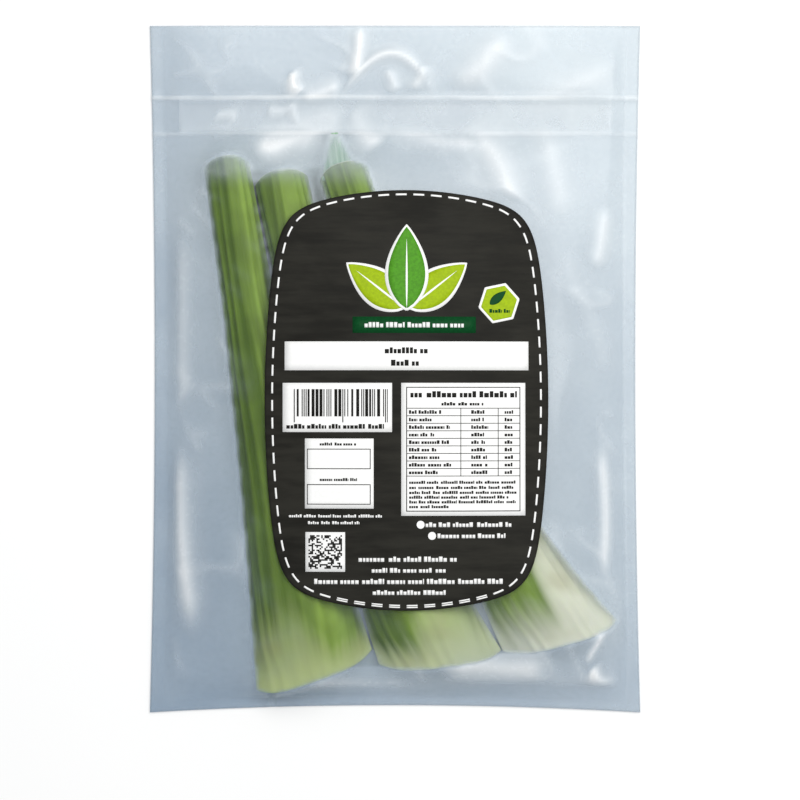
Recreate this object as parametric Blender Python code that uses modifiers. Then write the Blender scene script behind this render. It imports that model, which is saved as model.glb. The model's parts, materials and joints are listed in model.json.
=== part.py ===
"""A clear zip pouch holding three cut celery stalks, with a label stuck on its front.

The pouch lies on its back on the XY plane. +Y runs from its bottom seal to its mouth, +Z points up
through the label, and the origin is on the table under its middle. All sizes are in metres.
"""

import math
from dataclasses import dataclass

import bmesh
import bpy
import numpy as np
from mathutils import Matrix, Vector
from mathutils.bvhtree import BVHTree

# The pouch.
POUCH_WIDTH = 0.200
POUCH_LENGTH = 0.280
FILM = 0.0002  # thickness of the plastic film
GAP = 0.0003  # left between pieces that touch
SIDE_SEAL = 0.006
BOTTOM_SEAL = 0.004
BOTTOM_SLOPE = 0.003  # the film climbs steeply from its bottom seal over this width
SIDE_DRAW = 0.002  # how far the filled pouch pulls each side in, halfway up
BOTTOM_DRAW = 0.003  # how far it pulls the bottom edge up, in the middle
LIP_GAPE = 0.0012  # the mouth's lips stand this far apart

# The press-to-close zip.
ZIP_FROM_MOUTH = 0.030  # from the mouth down to the strips' upper edge
ZIP_WIDTH = 0.014
ZIP_STRIP = 0.0002  # thickness of a strip's flange
ZIP_RIB_HEIGHT = 0.0012
ZIP_RIB_WIDTH = 0.0006
ZIP_RIB_FROM_EDGE = 0.002  # from the strips' upper edge down to the middle of the ribs
ZIP_END_SLOPE = 0.004  # the film drops from the strips' ends to its seals over this width
ZIP_CLEARANCE = 0.002  # the film stays level this far above and below the strips

# The label: a rounded rectangle whose sides and ends bow outwards.
LABEL_WIDTH = 0.1146
LABEL_LENGTH = 0.1700
LABEL_CENTRE = (0.0047, -0.0126)
LABEL_THICKNESS = 0.00015
LABEL_SIDE_BOW = 0.0080  # how far each side stands out at its middle
LABEL_END_BOW = 0.0118
LABEL_SQUARENESS = 11  # the higher, the tighter its corners
LABEL_STIFFNESS = 0.014  # it bridges dips up to twice this wide
LABEL_EDGE_POINTS = 72
LABEL_EDGE_ROUNDS = 24  # halvings that find each point of its edge
LABEL_DIE_HEIGHT = 0.1  # the die that cuts the label's outline is taller than the filled pouch

# The stalks. Each lies with its ribbed outside up and its hollow down.
TOP_CROWN = 0.0146  # height of the ribbed back at the top
BASE_WALL = 0.0150  # thickness through the middle, near the base
TOP_WALL = 0.0118
RIBS = 8
RIB_HEIGHT = 0.0005
RIB_FADE_POWER = 6  # how close to a stalk's long edges the ribs fade out
EDGE_HEIGHT = 0.0035  # thickness of the long edges
EDGE_SLANT = 0.0028  # how far the long edges lean in from the outside to the hollow
HEEL_LENGTH = 0.10  # share of the length over which the base thins towards its cut
HEEL_SHARE = 0.58  # height left at the base's cut, as a share of the full height
CORNER_SHARE = 0.09  # how far the base's corners are rounded off, as a share of its width
CUT_FADE = 0.30  # share of the length over which the slant of the base's cut fades out
STATIONS = 18  # sections along a stalk
STATION_POWER = 1.25  # above 1, they are closer together at the wide base
ARC_POINTS = 17  # points across each side of a section

# How finely the film is made, and how it is draped.
FILM_COLUMNS = 26
FILM_ROWS = 30
LIP_ROWS = 4  # from the zip to the mouth
DRAPE_STEP = 0.002
DRAPE_CLEARANCE = 0.0007
DRAPE_ROUNDS = 260


@dataclass
class Stalk:
    """One cut stalk. lay_out sets where its base and its top lie, and how wide its base is."""

    name: str
    base_share: float  # of the width that the three bases fill between them
    base_room: float  # from the stalk on its left, or the left side seal, to its base
    foot_room: float  # from the bottom seal to the lowest point of its base
    top_width: float
    top_room: float  # from the stalk on its left, or the left side seal, to its top
    head_room: float  # from the middle of its top's cut to the zip
    base_crown: float  # height of its ribbed back near the base
    bow: float  # how far its middle curves to the left of a straight line
    flare: float  # how soon its wide base narrows going up; more is sooner
    cut_slope: float  # slope of the base's cut across the stalk
    base: Vector = None
    top: Vector = None
    base_width: float = 0.0

    def chord_and_left(self):
        chord = self.top - self.base
        return chord, Vector((-chord.y, chord.x)).normalized()

    def direction(self, t):
        """The way the stalk runs at t, from 0 at the base to 1 at the top."""
        chord, left = self.chord_and_left()
        return (chord + left * self.bow * 4 * (1 - 2 * t)).normalized()

    def middle(self, t):
        chord, left = self.chord_and_left()
        return self.base + chord * t + left * self.bow * 4 * t * (1 - t)

    def half_width(self, t):
        return (self.top_width + (self.base_width - self.top_width) * (1 - t) ** self.flare) / 2

    def crown(self, t):
        return (self.base_crown + (TOP_CROWN - self.base_crown) * t) * heel(t)

    def cut_shift(self, t, across):
        """How far the base's slanting, rounded cut moves a point along the stalk."""
        corner = (across / self.half_width(t)) ** 4 * self.base_width * CORNER_SHARE
        return (corner - across * self.cut_slope) * (1 - smooth(t / CUT_FADE))


# From left to right. The shares add up to 1.
STALKS = (
    Stalk("stalk_left", 0.346, 0.0375, 0.0047, 0.0180, 0.0160, 0.0100, 0.0208, 0.0010, 1.65, -0.15),
    Stalk("stalk_middle", 0.333, 0.0030, 0.0139, 0.0220, 0.0019, 0.0156, 0.0203, 0.0066, 1.8, 0.34),
    Stalk("stalk_right", 0.321, 0.0008, 0.0205, 0.0204, 0.0040, 0.0128, 0.0198, 0.0086, 2.4, 0.34),
)
BASES_TO_SEAL = 0.0036  # from the right stalk's base to the right side seal
LAYOUT_ROUNDS = 40

# The stub of a side branch, left on the right stalk's top.
STUB_LENGTH = 0.0185
STUB_OVERLAP = 0.0055  # how far it starts inside the stalk
STUB_WIDTH = 0.0150
STUB_TIP_WIDTH = 0.0032
STUB_FLATNESS = 0.62  # its thickness, as a share of its width
STUB_OFFSET = 0.0013  # how far it stands left of the stalk's middle
STUB_HEIGHT = 0.0076  # height of its middle above the film
STUB_LEAN = math.radians(9)  # turned to the right of the stalk's own direction


def smooth(x):
    """0 up to x = 0, 1 from x = 1, and an even curve between."""
    x = min(1.0, max(0.0, x))
    return x * x * (3 - 2 * x)


def heel(t):
    """1 along a stalk, falling to HEEL_SHARE at its base's cut."""
    return HEEL_SHARE + (1 - HEEL_SHARE) * smooth(t / HEEL_LENGTH)


def clear_scene():
    for obj in list(bpy.data.objects):
        bpy.data.objects.remove(obj)


def new_collection(name):
    made = bpy.data.collections.new(name)
    bpy.context.scene.collection.children.link(made)
    return made


def material(name, colour, roughness, alpha=1.0):
    made = bpy.data.materials.new(name)
    made.use_nodes = True
    shader = made.node_tree.nodes["Principled BSDF"]
    shader.inputs["Base Color"].default_value = (*colour, 1)
    shader.inputs["Roughness"].default_value = roughness
    shader.inputs["Metallic"].default_value = 0
    shader.inputs["Alpha"].default_value = alpha
    made.diffuse_color = (*colour, alpha)
    return made


def add_mesh(name, bm, collection, finish):
    """Turns a bmesh into an object of the collection."""
    bmesh.ops.recalc_face_normals(bm, faces=bm.faces)
    mesh = bpy.data.meshes.new(name)
    bm.to_mesh(mesh)
    bm.free()
    mesh.materials.append(finish)
    obj = bpy.data.objects.new(name, mesh)
    collection.objects.link(obj)
    return obj


# ---------------------------------------------------------------- stalks


def lay_out():
    """Fans the stalks out: side by side between the side seals, and from the bottom seal to the zip.

    The more a stalk leans, the more room it takes from side to side, and how far it leans depends on
    where its base is. So the bases are placed over and over, while their widths grow to fill the pouch.
    """
    seal_left = SIDE_SEAL - POUCH_WIDTH / 2
    seal_bottom = BOTTOM_SEAL - POUCH_LENGTH / 2
    zip_low = POUCH_LENGTH / 2 - ZIP_FROM_MOUTH - ZIP_WIDTH
    top_x = seal_left
    for stalk in STALKS:
        top_x += stalk.top_room + stalk.top_width / 2
        stalk.top = Vector((top_x, zip_low - stalk.head_room))
        stalk.base = Vector((top_x, seal_bottom + stalk.foot_room))
        top_x += stalk.top_width / 2
    all_bases = POUCH_WIDTH / 2
    for _ in range(LAYOUT_ROUNDS):
        left = None
        for stalk in STALKS:
            stalk.base_width = all_bases * stalk.base_share
            reach_down = min(spot[1] for spot in stalk_ring(stalk, 0)) - stalk.base.y
            stalk.base.y = seal_bottom + stalk.foot_room - reach_down
            if left is None:
                reach_left = min(spot[0] for spot in stalk_ring(stalk, 0)) - stalk.base.x
                stalk.base.x = seal_left + stalk.base_room - reach_left
            else:
                between = (left.base_width + stalk.base_width) / 2 + stalk.base_room
                lean = (left.direction(0) + stalk.direction(0)).normalized()
                stalk.base.x = left.base.x + (between + (stalk.base.y - left.base.y) * lean.x) / lean.y
            left = stalk
        right_edge = max(spot[0] for spot in stalk_ring(left, 0))
        all_bases += -seal_left - BASES_TO_SEAL - right_edge


def arc(half_width, rise, foot, ribs=0):
    """(across, height) points along a round arc from left to right, rising this far above foot."""
    radius = (half_width**2 + rise**2) / (2 * rise)
    sweep = math.asin(min(1.0, half_width / radius))
    if rise > half_width:
        sweep = math.pi - sweep
    points = []
    for i in range(ARC_POINTS):
        share = 2 * i / (ARC_POINTS - 1) - 1
        fade = 1 - abs(share) ** RIB_FADE_POWER
        lift = ribs * fade * math.cos(math.pi * RIBS * (share + 1)) / 2
        angle = sweep * share
        points.append(
            ((radius + lift) * math.sin(angle), foot + rise - radius + (radius + lift) * math.cos(angle))
        )
    return points


def stalk_ring(stalk, t):
    """The crescent section at t: along its ribbed outside, then back along its hollow inside."""
    width, crown = stalk.half_width(t), stalk.crown(t)
    wall = (BASE_WALL + (TOP_WALL - BASE_WALL) * t) * heel(t)
    foot = FILM + GAP
    outside = arc(width, crown - EDGE_HEIGHT, foot + EDGE_HEIGHT, RIB_HEIGHT)
    inside = arc(width - EDGE_SLANT, crown - wall, foot)
    along = stalk.direction(t)
    right = Vector((along.y, -along.x))
    middle = stalk.middle(t)
    ring = []
    for across, height in outside + inside[::-1]:
        spot = middle + right * across + along * stalk.cut_shift(t, across)
        ring.append((spot.x, spot.y, height))
    return ring


def add_stalk(stalk, collection, finish):
    """Lofts the stalk's crescent sections from the base to the top and closes both cuts."""
    bm = bmesh.new()
    rings = []
    for i in range(STATIONS):
        t = (i / (STATIONS - 1)) ** STATION_POWER
        rings.append([bm.verts.new(p) for p in stalk_ring(stalk, t)])
    count = 2 * ARC_POINTS
    for low, high in zip(rings, rings[1:]):
        for k in range(count):
            n = (k + 1) % count
            bm.faces.new((low[k], low[n], high[n], high[k]))
    for ring in (rings[0], rings[-1]):
        for k in range(ARC_POINTS - 1):
            bm.faces.new((ring[k], ring[k + 1], ring[count - 2 - k], ring[count - 1 - k]))
    obj = add_mesh(stalk.name, bm, collection, finish)
    obj.data.shade_smooth()
    obj.data.set_sharp_from_angle(angle=math.radians(50))
    return obj


def add_branch_stub(stalk, obj, cutters, finish):
    """Joins the stub of a cut side branch to the top of this stalk."""
    along = stalk.direction(1.0)
    heading = math.atan2(along.y, along.x) - STUB_LEAN
    along = Vector((math.cos(heading), math.sin(heading), 0))
    left = Vector((-along.y, along.x, 0))
    centre = stalk.middle(1.0).to_3d() + along * (STUB_LENGTH / 2 - STUB_OVERLAP) + left * STUB_OFFSET
    centre.z = FILM + GAP + STUB_HEIGHT
    turn = along.to_track_quat("Z", "Y").to_matrix().to_4x4()
    place = Matrix.Translation(centre) @ turn @ Matrix.Diagonal((1, STUB_FLATNESS, 1, 1))
    bm = bmesh.new()
    bmesh.ops.create_cone(
        bm, cap_ends=True, segments=12, radius1=STUB_WIDTH / 2, radius2=STUB_TIP_WIDTH / 2,
        depth=STUB_LENGTH, matrix=place,
    )
    stub = add_mesh("branch_stub", bm, cutters, finish)
    stub.hide_render = True
    stub.display_type = "WIRE"
    join = obj.modifiers.new("branch_stub", "BOOLEAN")
    join.operation = "UNION"
    join.object = stub


# ---------------------------------------------------------------- film


def outline(u, v):
    """Where the flat pouch's point (u, v), each from -1 to 1, lies on the table."""
    x = u * (POUCH_WIDTH / 2 - SIDE_DRAW * (1 - v * v))
    y = v * POUCH_LENGTH / 2
    if v < 0:
        y += BOTTOM_DRAW * (1 - u * u) * v * v
    return x, y


def ticks(*bands):
    """Places from -1 to 1. Each band is (its width, how many steps it is cut into)."""
    total = sum(width for width, _ in bands)
    places = [0.0]
    for width, steps in bands:
        start = places[-1]
        places += [start + width * (i + 1) / steps for i in range(steps)]
    return [2 * p / total - 1 for p in places]


def highest_near(heights, reach):
    """The highest height within this many cells of each cell, in a square."""
    found = heights.copy()
    for axis in (0, 1):
        spread = found.copy()
        for step in range(1, reach + 1):
            for way in (step, -step):
                moved = np.roll(found, way, axis)
                edge = [slice(None), slice(None)]
                edge[axis] = slice(0, way) if way > 0 else slice(way, None)
                moved[tuple(edge)] = 0
                spread = np.maximum(spread, moved)
        found = spread
    return found


def bridged(heights, reach):
    """The heights with each dip narrower than twice the reach filled in."""
    return 1 - highest_near(1 - highest_near(heights, reach), reach)


class Drape:
    """The height that the front film needs over each spot of the table, to clear what is beneath."""

    def __init__(self, objects):
        self.nx = round(POUCH_WIDTH / DRAPE_STEP) + 1
        self.ny = round(POUCH_LENGTH / DRAPE_STEP) + 1
        graph = bpy.context.evaluated_depsgraph_get()
        trees = [BVHTree.FromObject(obj, graph) for obj in objects]
        down = Vector((0, 0, -1))
        bare = np.zeros((self.ny, self.nx))
        for j in range(self.ny):
            for i in range(self.nx):
                above = Vector((self.x(i), self.y(j), 1))
                for tree in trees:
                    hit = tree.ray_cast(above, down)[0]
                    if hit:
                        bare[j, i] = max(bare[j, i], hit.z)
        cell = max(POUCH_WIDTH / FILM_COLUMNS, POUCH_LENGTH / FILM_ROWS)
        self.under_film = highest_near(bare, round(cell / DRAPE_STEP))
        stiff = bridged(self.under_film, round(LABEL_STIFFNESS / DRAPE_STEP))
        self.under_label = np.maximum(self.under_film, stiff)

    def x(self, i):
        return -POUCH_WIDTH / 2 + i * DRAPE_STEP

    def y(self, j):
        return -POUCH_LENGTH / 2 + j * DRAPE_STEP

    def at(self, x, y):
        i = min(self.nx - 1, max(0, round((x + POUCH_WIDTH / 2) / DRAPE_STEP)))
        j = min(self.ny - 1, max(0, round((y + POUCH_LENGTH / 2) / DRAPE_STEP)))
        heights = self.under_label if in_label(x, y) else self.under_film
        return heights[j, i]


def in_label(x, y):
    """Whether a spot lies within the label's outline."""
    across, along = abs(x - LABEL_CENTRE[0]), abs(y - LABEL_CENTRE[1])
    half_width, half_length = LABEL_WIDTH / 2, LABEL_LENGTH / 2
    if across > half_width or along > half_length:
        return False
    side = half_width - LABEL_SIDE_BOW * (along / half_length) ** 2
    end = half_length - LABEL_END_BOW * (across / half_width) ** 2
    return (across / side) ** LABEL_SQUARENESS + (along / end) ** LABEL_SQUARENESS < 1


def film_grid():
    """Where the front film's columns and rows lie, with their own bands for the seals and the zip."""
    edge = SIDE_SEAL + ZIP_END_SLOPE
    across = ticks(
        (SIDE_SEAL, 1), (ZIP_END_SLOPE, 1), (POUCH_WIDTH - 2 * edge, FILM_COLUMNS),
        (ZIP_END_SLOPE, 1), (SIDE_SEAL, 1),
    )
    filled = POUCH_LENGTH - BOTTOM_SEAL - BOTTOM_SLOPE - ZIP_WIDTH - ZIP_FROM_MOUTH
    along = ticks(
        (BOTTOM_SEAL, 1), (BOTTOM_SLOPE, 1), (filled, FILM_ROWS), (ZIP_WIDTH, 1),
        (ZIP_FROM_MOUTH, LIP_ROWS),
    )
    return across, along


def least_height(u, v, drape):
    """The lowest that the front film's underside can be at a point that isn't sealed."""
    if v == 1:
        return FILM + GAP + LIP_GAPE * (1 - u**4)
    x, y = outline(u, v)
    least = FILM + GAP
    beneath = drape.at(x, y)
    if beneath > 0:
        least = beneath + DRAPE_CLEARANCE
    from_mouth = POUCH_LENGTH / 2 - y
    if abs(from_mouth - ZIP_FROM_MOUTH - ZIP_WIDTH / 2) < ZIP_WIDTH / 2 + ZIP_CLEARANCE:
        zip_top = FILM + GAP + 2 * ZIP_STRIP + ZIP_RIB_HEIGHT + GAP
        least = max(least, zip_top + GAP)
    return least


def front_heights(places_u, places_v, drape):
    """Heights of the front film's underside: a stretched sheet that rests on what is in the pouch."""
    floor = np.full((len(places_v), len(places_u)), FILM + GAP)
    held = np.ones(floor.shape, bool)
    held[2:-1, 2:-2] = False
    for j in range(2, len(places_v)):
        for i in range(2, len(places_u) - 2):
            floor[j, i] = least_height(places_u[i], places_v[j], drape)
    heights = floor.copy()
    for _ in range(DRAPE_ROUNDS):
        mean = heights.copy()
        mean[1:-1, 1:-1] = (
            heights[:-2, 1:-1] + heights[2:, 1:-1] + heights[1:-1, :-2] + heights[1:-1, 2:]
        ) / 4
        heights = np.where(held, floor, np.maximum(floor, mean))
    return heights


def film_sheet(name, places_u, places_v, heights, collection, finish, thickness):
    """A sheet over the pouch's outline at these heights, thickened upwards."""
    columns, rows = len(places_u) - 1, len(places_v) - 1
    bm = bmesh.new()
    bmesh.ops.create_grid(bm, x_segments=columns, y_segments=rows, size=1)
    for vert in bm.verts:
        i = round((vert.co.x + 1) / 2 * columns)
        j = round((vert.co.y + 1) / 2 * rows)
        x, y = outline(places_u[i], places_v[j])
        vert.co = (x, y, heights[j, i])
    obj = add_mesh(name, bm, collection, finish)
    obj.data.shade_smooth()
    shell = obj.modifiers.new("thickness", "SOLIDIFY")
    shell.thickness = thickness
    shell.offset = 1
    return obj


def add_back_film(places_u, places_v, collection, finish):
    """The flat film that the pouch lies on."""
    edge = [(u, places_v[0]) for u in places_u[:-1]]
    edge += [(places_u[-1], v) for v in places_v[:-1]]
    edge += [(u, places_v[-1]) for u in places_u[:0:-1]]
    edge += [(places_u[0], v) for v in places_v[:0:-1]]
    obj = flat_piece("film_back", [outline(u, v) for u, v in edge], FILM, collection, finish)
    obj.location.z = FILM / 2
    return obj


def flat_piece(name, points, thickness, collection, finish):
    """A filled outline with a thickness, centred on its own XY plane."""
    curve = bpy.data.curves.new(name, "CURVE")
    curve.dimensions = "2D"
    curve.fill_mode = "BOTH"
    curve.extrude = thickness / 2
    curve.materials.append(finish)
    spline = curve.splines.new("POLY")
    spline.points.add(len(points) - 1)
    for point, (x, y) in zip(spline.points, points):
        point.co = (x, y, 0, 1)
    spline.use_cyclic_u = True
    obj = bpy.data.objects.new(name, curve)
    collection.objects.link(obj)
    return obj


# ---------------------------------------------------------------- zip


def add_zip(collection, finish):
    """Two flanged strips across the pouch. The front one's rib presses between the back one's two."""
    upper = POUCH_LENGTH / 2 - ZIP_FROM_MOUTH
    lower = upper - ZIP_WIDTH
    rib = upper - ZIP_RIB_FROM_EDGE
    half = ZIP_RIB_WIDTH / 2
    back_low = FILM + GAP
    back_high = back_low + ZIP_STRIP
    wall_top = back_high + ZIP_RIB_HEIGHT
    near, far = half + GAP, half + GAP + ZIP_RIB_WIDTH
    back = [(lower, back_low), (upper, back_low), (upper, back_high)]
    for side in (1, -1):
        first, last = (far, near) if side > 0 else (near, far)
        back += [(rib + side * first, back_high), (rib + side * first, wall_top)]
        back += [(rib + side * last, wall_top), (rib + side * last, back_high)]
    back += [(lower, back_high)]
    front_low = wall_top + GAP
    front_high = front_low + ZIP_STRIP
    front = [(lower, front_low), (rib - half, front_low), (rib - half, back_high + GAP)]
    front += [(rib + half, back_high + GAP), (rib + half, front_low), (upper, front_low)]
    front += [(upper, front_high), (lower, front_high)]
    length = POUCH_WIDTH - 2 * (SIDE_SEAL + SIDE_DRAW + ZIP_END_SLOPE)
    for name, points in (("zip_strip_back", back), ("zip_strip_front", front)):
        obj = flat_piece(name, points, length, collection, finish)
        obj.rotation_euler = (math.pi / 2, 0, math.pi / 2)


# ---------------------------------------------------------------- label


def label_point(angle):
    """The point of the label's edge in this direction from its middle."""
    middle = Vector(LABEL_CENTRE)
    inside, outside = middle, middle + Vector((math.cos(angle), math.sin(angle))) * LABEL_LENGTH
    for _ in range(LABEL_EDGE_ROUNDS):
        between = (inside + outside) / 2
        if in_label(*between):
            inside = between
        else:
            outside = between
    return inside


def add_label(places_u, places_v, heights, collection, cutters, finish):
    """The part of a thin sheet on the front film that lies inside the label's outline."""
    lift = FILM + 2 * GAP
    obj = film_sheet("label", places_u, places_v, heights + lift, collection, finish, LABEL_THICKNESS)
    edge = [label_point(2 * math.pi * (i + 0.5) / LABEL_EDGE_POINTS) for i in range(LABEL_EDGE_POINTS)]
    die = flat_piece("label_die", edge, LABEL_DIE_HEIGHT, cutters, finish)
    cut = bpy.data.meshes.new_from_object(
        die.evaluated_get(bpy.context.evaluated_depsgraph_get())
    )
    bpy.data.objects.remove(die)
    bm = bmesh.new()
    bm.from_mesh(cut)
    bmesh.ops.remove_doubles(bm, verts=bm.verts, dist=1e-6)
    bmesh.ops.recalc_face_normals(bm, faces=bm.faces)
    bm.to_mesh(cut)
    bm.free()
    die = bpy.data.objects.new("label_die", cut)
    cutters.objects.link(die)
    die.hide_render = True
    die.display_type = "WIRE"
    trim = obj.modifiers.new("outline", "BOOLEAN")
    trim.operation = "INTERSECT"
    trim.object = die
    return obj


def main():
    clear_scene()
    parts = new_collection("celery_pouch")
    cutters = new_collection("cutters")
    celery = material("celery", (0.22, 0.32, 0.07), 0.45)
    film = material("film", (0.72, 0.79, 0.88), 0.2, alpha=0.35)
    paper = material("label", (0.035, 0.034, 0.03), 0.5)

    lay_out()
    stalks = [add_stalk(stalk, parts, celery) for stalk in STALKS]
    add_branch_stub(STALKS[-1], stalks[-1], cutters, celery)

    places_u, places_v = film_grid()
    add_back_film(places_u, places_v, parts, film)
    add_zip(parts, film)
    bpy.context.view_layer.update()
    heights = front_heights(places_u, places_v, Drape(stalks))
    film_sheet("film_front", places_u, places_v, heights, parts, film, FILM)
    add_label(places_u, places_v, heights, parts, cutters, paper)


main()
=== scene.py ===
"""Celery pouch: three cut celery stalks in a clear press-to-close film pouch with a dark label.

The pouch lies on its back on the XY plane. +Y runs from its bottom seal to its mouth, and +Z points up
through the label. All sizes are in metres.
"""

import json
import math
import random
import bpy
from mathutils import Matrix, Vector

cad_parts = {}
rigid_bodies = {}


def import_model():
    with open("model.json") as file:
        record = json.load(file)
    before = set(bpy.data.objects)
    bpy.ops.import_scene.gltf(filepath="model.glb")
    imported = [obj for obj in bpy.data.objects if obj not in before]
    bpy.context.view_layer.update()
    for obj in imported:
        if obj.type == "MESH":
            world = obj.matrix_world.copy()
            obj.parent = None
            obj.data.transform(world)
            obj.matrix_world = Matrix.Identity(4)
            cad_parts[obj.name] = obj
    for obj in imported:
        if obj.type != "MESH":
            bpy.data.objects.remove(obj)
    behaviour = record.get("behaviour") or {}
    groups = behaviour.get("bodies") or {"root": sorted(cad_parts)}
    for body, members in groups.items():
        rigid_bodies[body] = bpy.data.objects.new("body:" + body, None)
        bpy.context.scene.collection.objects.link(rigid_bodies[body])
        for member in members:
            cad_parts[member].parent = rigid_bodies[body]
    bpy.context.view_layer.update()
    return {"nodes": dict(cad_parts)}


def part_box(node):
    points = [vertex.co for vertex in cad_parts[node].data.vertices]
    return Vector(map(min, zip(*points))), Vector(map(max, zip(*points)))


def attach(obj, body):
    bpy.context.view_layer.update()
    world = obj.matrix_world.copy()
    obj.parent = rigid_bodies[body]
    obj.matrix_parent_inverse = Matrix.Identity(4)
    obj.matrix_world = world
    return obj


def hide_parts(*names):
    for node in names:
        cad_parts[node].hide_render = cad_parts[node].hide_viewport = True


bl_info = {
    "name": "Celery Pouch",
    "version": (1, 0, 0),
    "blender": (4, 5, 0),
    "location": "View3D > Sidebar > Celery Pouch",
    "description": "Makes cut celery stalks in a clear zip pouch with a plain printed label",
    "category": "Add Mesh",
}

from dataclasses import dataclass

import bmesh
import bpy
import numpy as np
from bpy.props import FloatProperty, FloatVectorProperty, IntProperty, PointerProperty
from mathutils import Vector, noise
from mathutils.bvhtree import BVHTree

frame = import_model()
POUCH_LOW, POUCH_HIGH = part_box("film_back")
ZIP_LOW, ZIP_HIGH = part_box("zip_strip_back")
ZIP_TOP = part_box("zip_strip_front")[1].z
LABEL_LOW, LABEL_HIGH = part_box("label")
LABEL_MIDDLE = (LABEL_LOW + LABEL_HIGH) / 2
LABEL_HALF = LABEL_HIGH - LABEL_MIDDLE
FOOT = POUCH_HIGH.z + 0.0003  # what lies on the back film is this far above the table
MM = 0.001


# ---------------------------------------------------------------- settings


def size(name, description, default, **limits):
    """A length that a user may change."""
    return FloatProperty(
        name=name, description=description, default=default, unit="LENGTH", precision=5, **limits
    )


def share(name, description, default):
    """A plain factor from 0 to 1."""
    return FloatProperty(
        name=name, description=description, default=default, min=0, max=1, subtype="FACTOR"
    )


def colour(name, description, default):
    """A colour, as linear red, green and blue."""
    return FloatVectorProperty(
        name=name, description=description, default=default, min=0, max=1, size=3, subtype="COLOR"
    )


class CelerySettings(bpy.types.PropertyGroup):
    """The three stalks."""

    ribs: IntProperty(
        name="Ribs", description="Ribs across a stalk's outside", default=8, min=3, max=20
    )
    rib_height: size("Rib height", "From the grooves to the ribs' tops", 0.0006)
    dark: colour("Groove green", "The darker green between the ribs", (0.066, 0.120, 0.009))
    light: colour("Rib green", "The lighter green of the ribs", (0.215, 0.330, 0.050))
    pale: colour("Base cream", "The pale flesh at the wide base", (0.400, 0.470, 0.210))
    white: colour("Inner white", "The whitest flesh, on the right stalk", (0.640, 0.660, 0.560))


class FilmSettings(bpy.types.PropertyGroup):
    """The pouch's two films and its zip."""

    thickness: size("Film", "Thickness of a film", 0.0001)
    side_seal: size("Side seal", "Width of the welded sides", 0.006)
    bottom_seal: size("Bottom seal", "Width of the welded bottom", 0.004)
    puff: size("Puff", "How far air in the pouch lifts a cell of the front film", 0.0000025)
    slack: size("Slack", "Height of the front film's wide folds", 0.0012)
    clear: share("Clear", "How much a film hides where it lies on a stalk", 0.006)
    milky: share("Milky", "How much a film hides where it stands off", 0.26)
    back: share("Back", "How much the back film hides", 0.52)
    # shade and tint: the film's colour low and high in the pouch, which paints shade towards the bottom left
    # and light towards the top right.
    shade: colour("Shade", "The film's tint low in the pouch", (0.36, 0.47, 0.59))
    tint_and_painted_light: colour("Tint", "The film's tint high in the pouch", (0.88, 0.955, 1.00))


class LabelSettings(bpy.types.PropertyGroup):
    """The label and its print."""

    squareness: FloatProperty(
        name="Squareness", description="The higher, the tighter the label's corners",
        default=11, min=2, max=30,
    )
    side_bow: size("Side bow", "How far each side stands out at its middle", 0.0080)
    end_bow: size("End bow", "How far each end stands out at its middle", 0.0118)
    thickness: size("Label", "Thickness of the label", 0.00015)
    stiffness: size("Stiffness", "The label bridges dips up to twice this wide", 0.014)
    paper: colour("Charcoal", "The label's ground", (0.0175, 0.0168, 0.0138))
    leaf: colour("Leaf green", "The emblem's leaves", (0.080, 0.290, 0.020))
    lime: colour("Lime", "The badge", (0.330, 0.470, 0.008))
    ribbon: colour("Ribbon green", "The band under the emblem", (0.002, 0.058, 0.014))


class StageSettings(bpy.types.PropertyGroup):
    """The floor, the lights and the camera."""

    view_width: size("View", "Width of the table that the camera sees", 0.3264)
    view_x: size("View X", "Where the camera looks, to the right of the pouch's middle", 0.0020)
    view_y: size("View Y", "Where the camera looks, above the pouch's middle", -0.0126)
    lens: FloatProperty(name="Lens", description="Focal length", default=200, unit="CAMERA")
    key: FloatProperty(name="Key light", description="Power of the key light", default=17, unit="POWER")
    sky: FloatProperty(name="Sky", description="Strength of the light all round", default=0.60)


# ---------------------------------------------------------------- pieces


def new_mesh(bm, name, finish, smooth=True):
    """Turns the bmesh into a mesh with this material."""
    mesh = bpy.data.meshes.new(name)
    bm.to_mesh(mesh)
    bm.free()
    mesh.materials.append(finish)
    if smooth:
        mesh.shade_smooth()
    return mesh


def new_object(name, data):
    """Puts a mesh, a light or a camera in the scene."""
    made = bpy.data.objects.new(name, data)
    bpy.context.scene.collection.objects.link(made)
    return made


def finish_piece(bm, name, nodes, finish):
    """Makes the bmesh an object that stands for these CAD nodes and rides with the pouch."""
    piece = new_object(name, new_mesh(bm, name, finish))
    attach(piece, "root")
    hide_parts(*nodes)
    return piece


def thicken(piece, thickness):
    """Gives a sheet its thickness, upwards."""
    wall = piece.modifiers.new("thickness", "SOLIDIFY")
    wall.thickness = thickness
    wall.offset = 1
    wall.use_even_offset = False


def grid_verts(bm, columns, rows):
    """Adds a grid, and gives back each of its vertices with its column and its row."""
    made = bmesh.ops.create_grid(bm, x_segments=columns, y_segments=rows, size=1)["verts"]
    return [
        (vert, round((vert.co.x + 1) / 2 * columns), round((vert.co.y + 1) / 2 * rows))
        for vert in made
    ]


def grid(bm, columns, rows, spot):
    """Adds a grid whose points lie where spot(i, j) says, and gives back its vertices in order."""
    verts = grid_verts(bm, columns, rows)
    for vert, i, j in verts:
        vert.co = spot(i, j)
    return [vert for vert, _, _ in verts]


def sheet_mesh(points, layers):
    """A sheet with these rows of points, and with named values at its points."""
    bm = bmesh.new()
    made = [(bm.verts.layers.float.new(name), values) for name, values in layers.items()]
    for vert, i, j in grid_verts(bm, points.shape[1] - 1, points.shape[0] - 1):
        vert.co = points[j, i]
        for layer, values in made:
            vert[layer] = values[j, i]
    return bm


def smoothstep(x):
    """0 up to x = 0, 1 from x = 1, and an even curve between, for numbers and arrays."""
    x = np.clip(x, 0.0, 1.0)
    return x * x * (3 - 2 * x)


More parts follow.
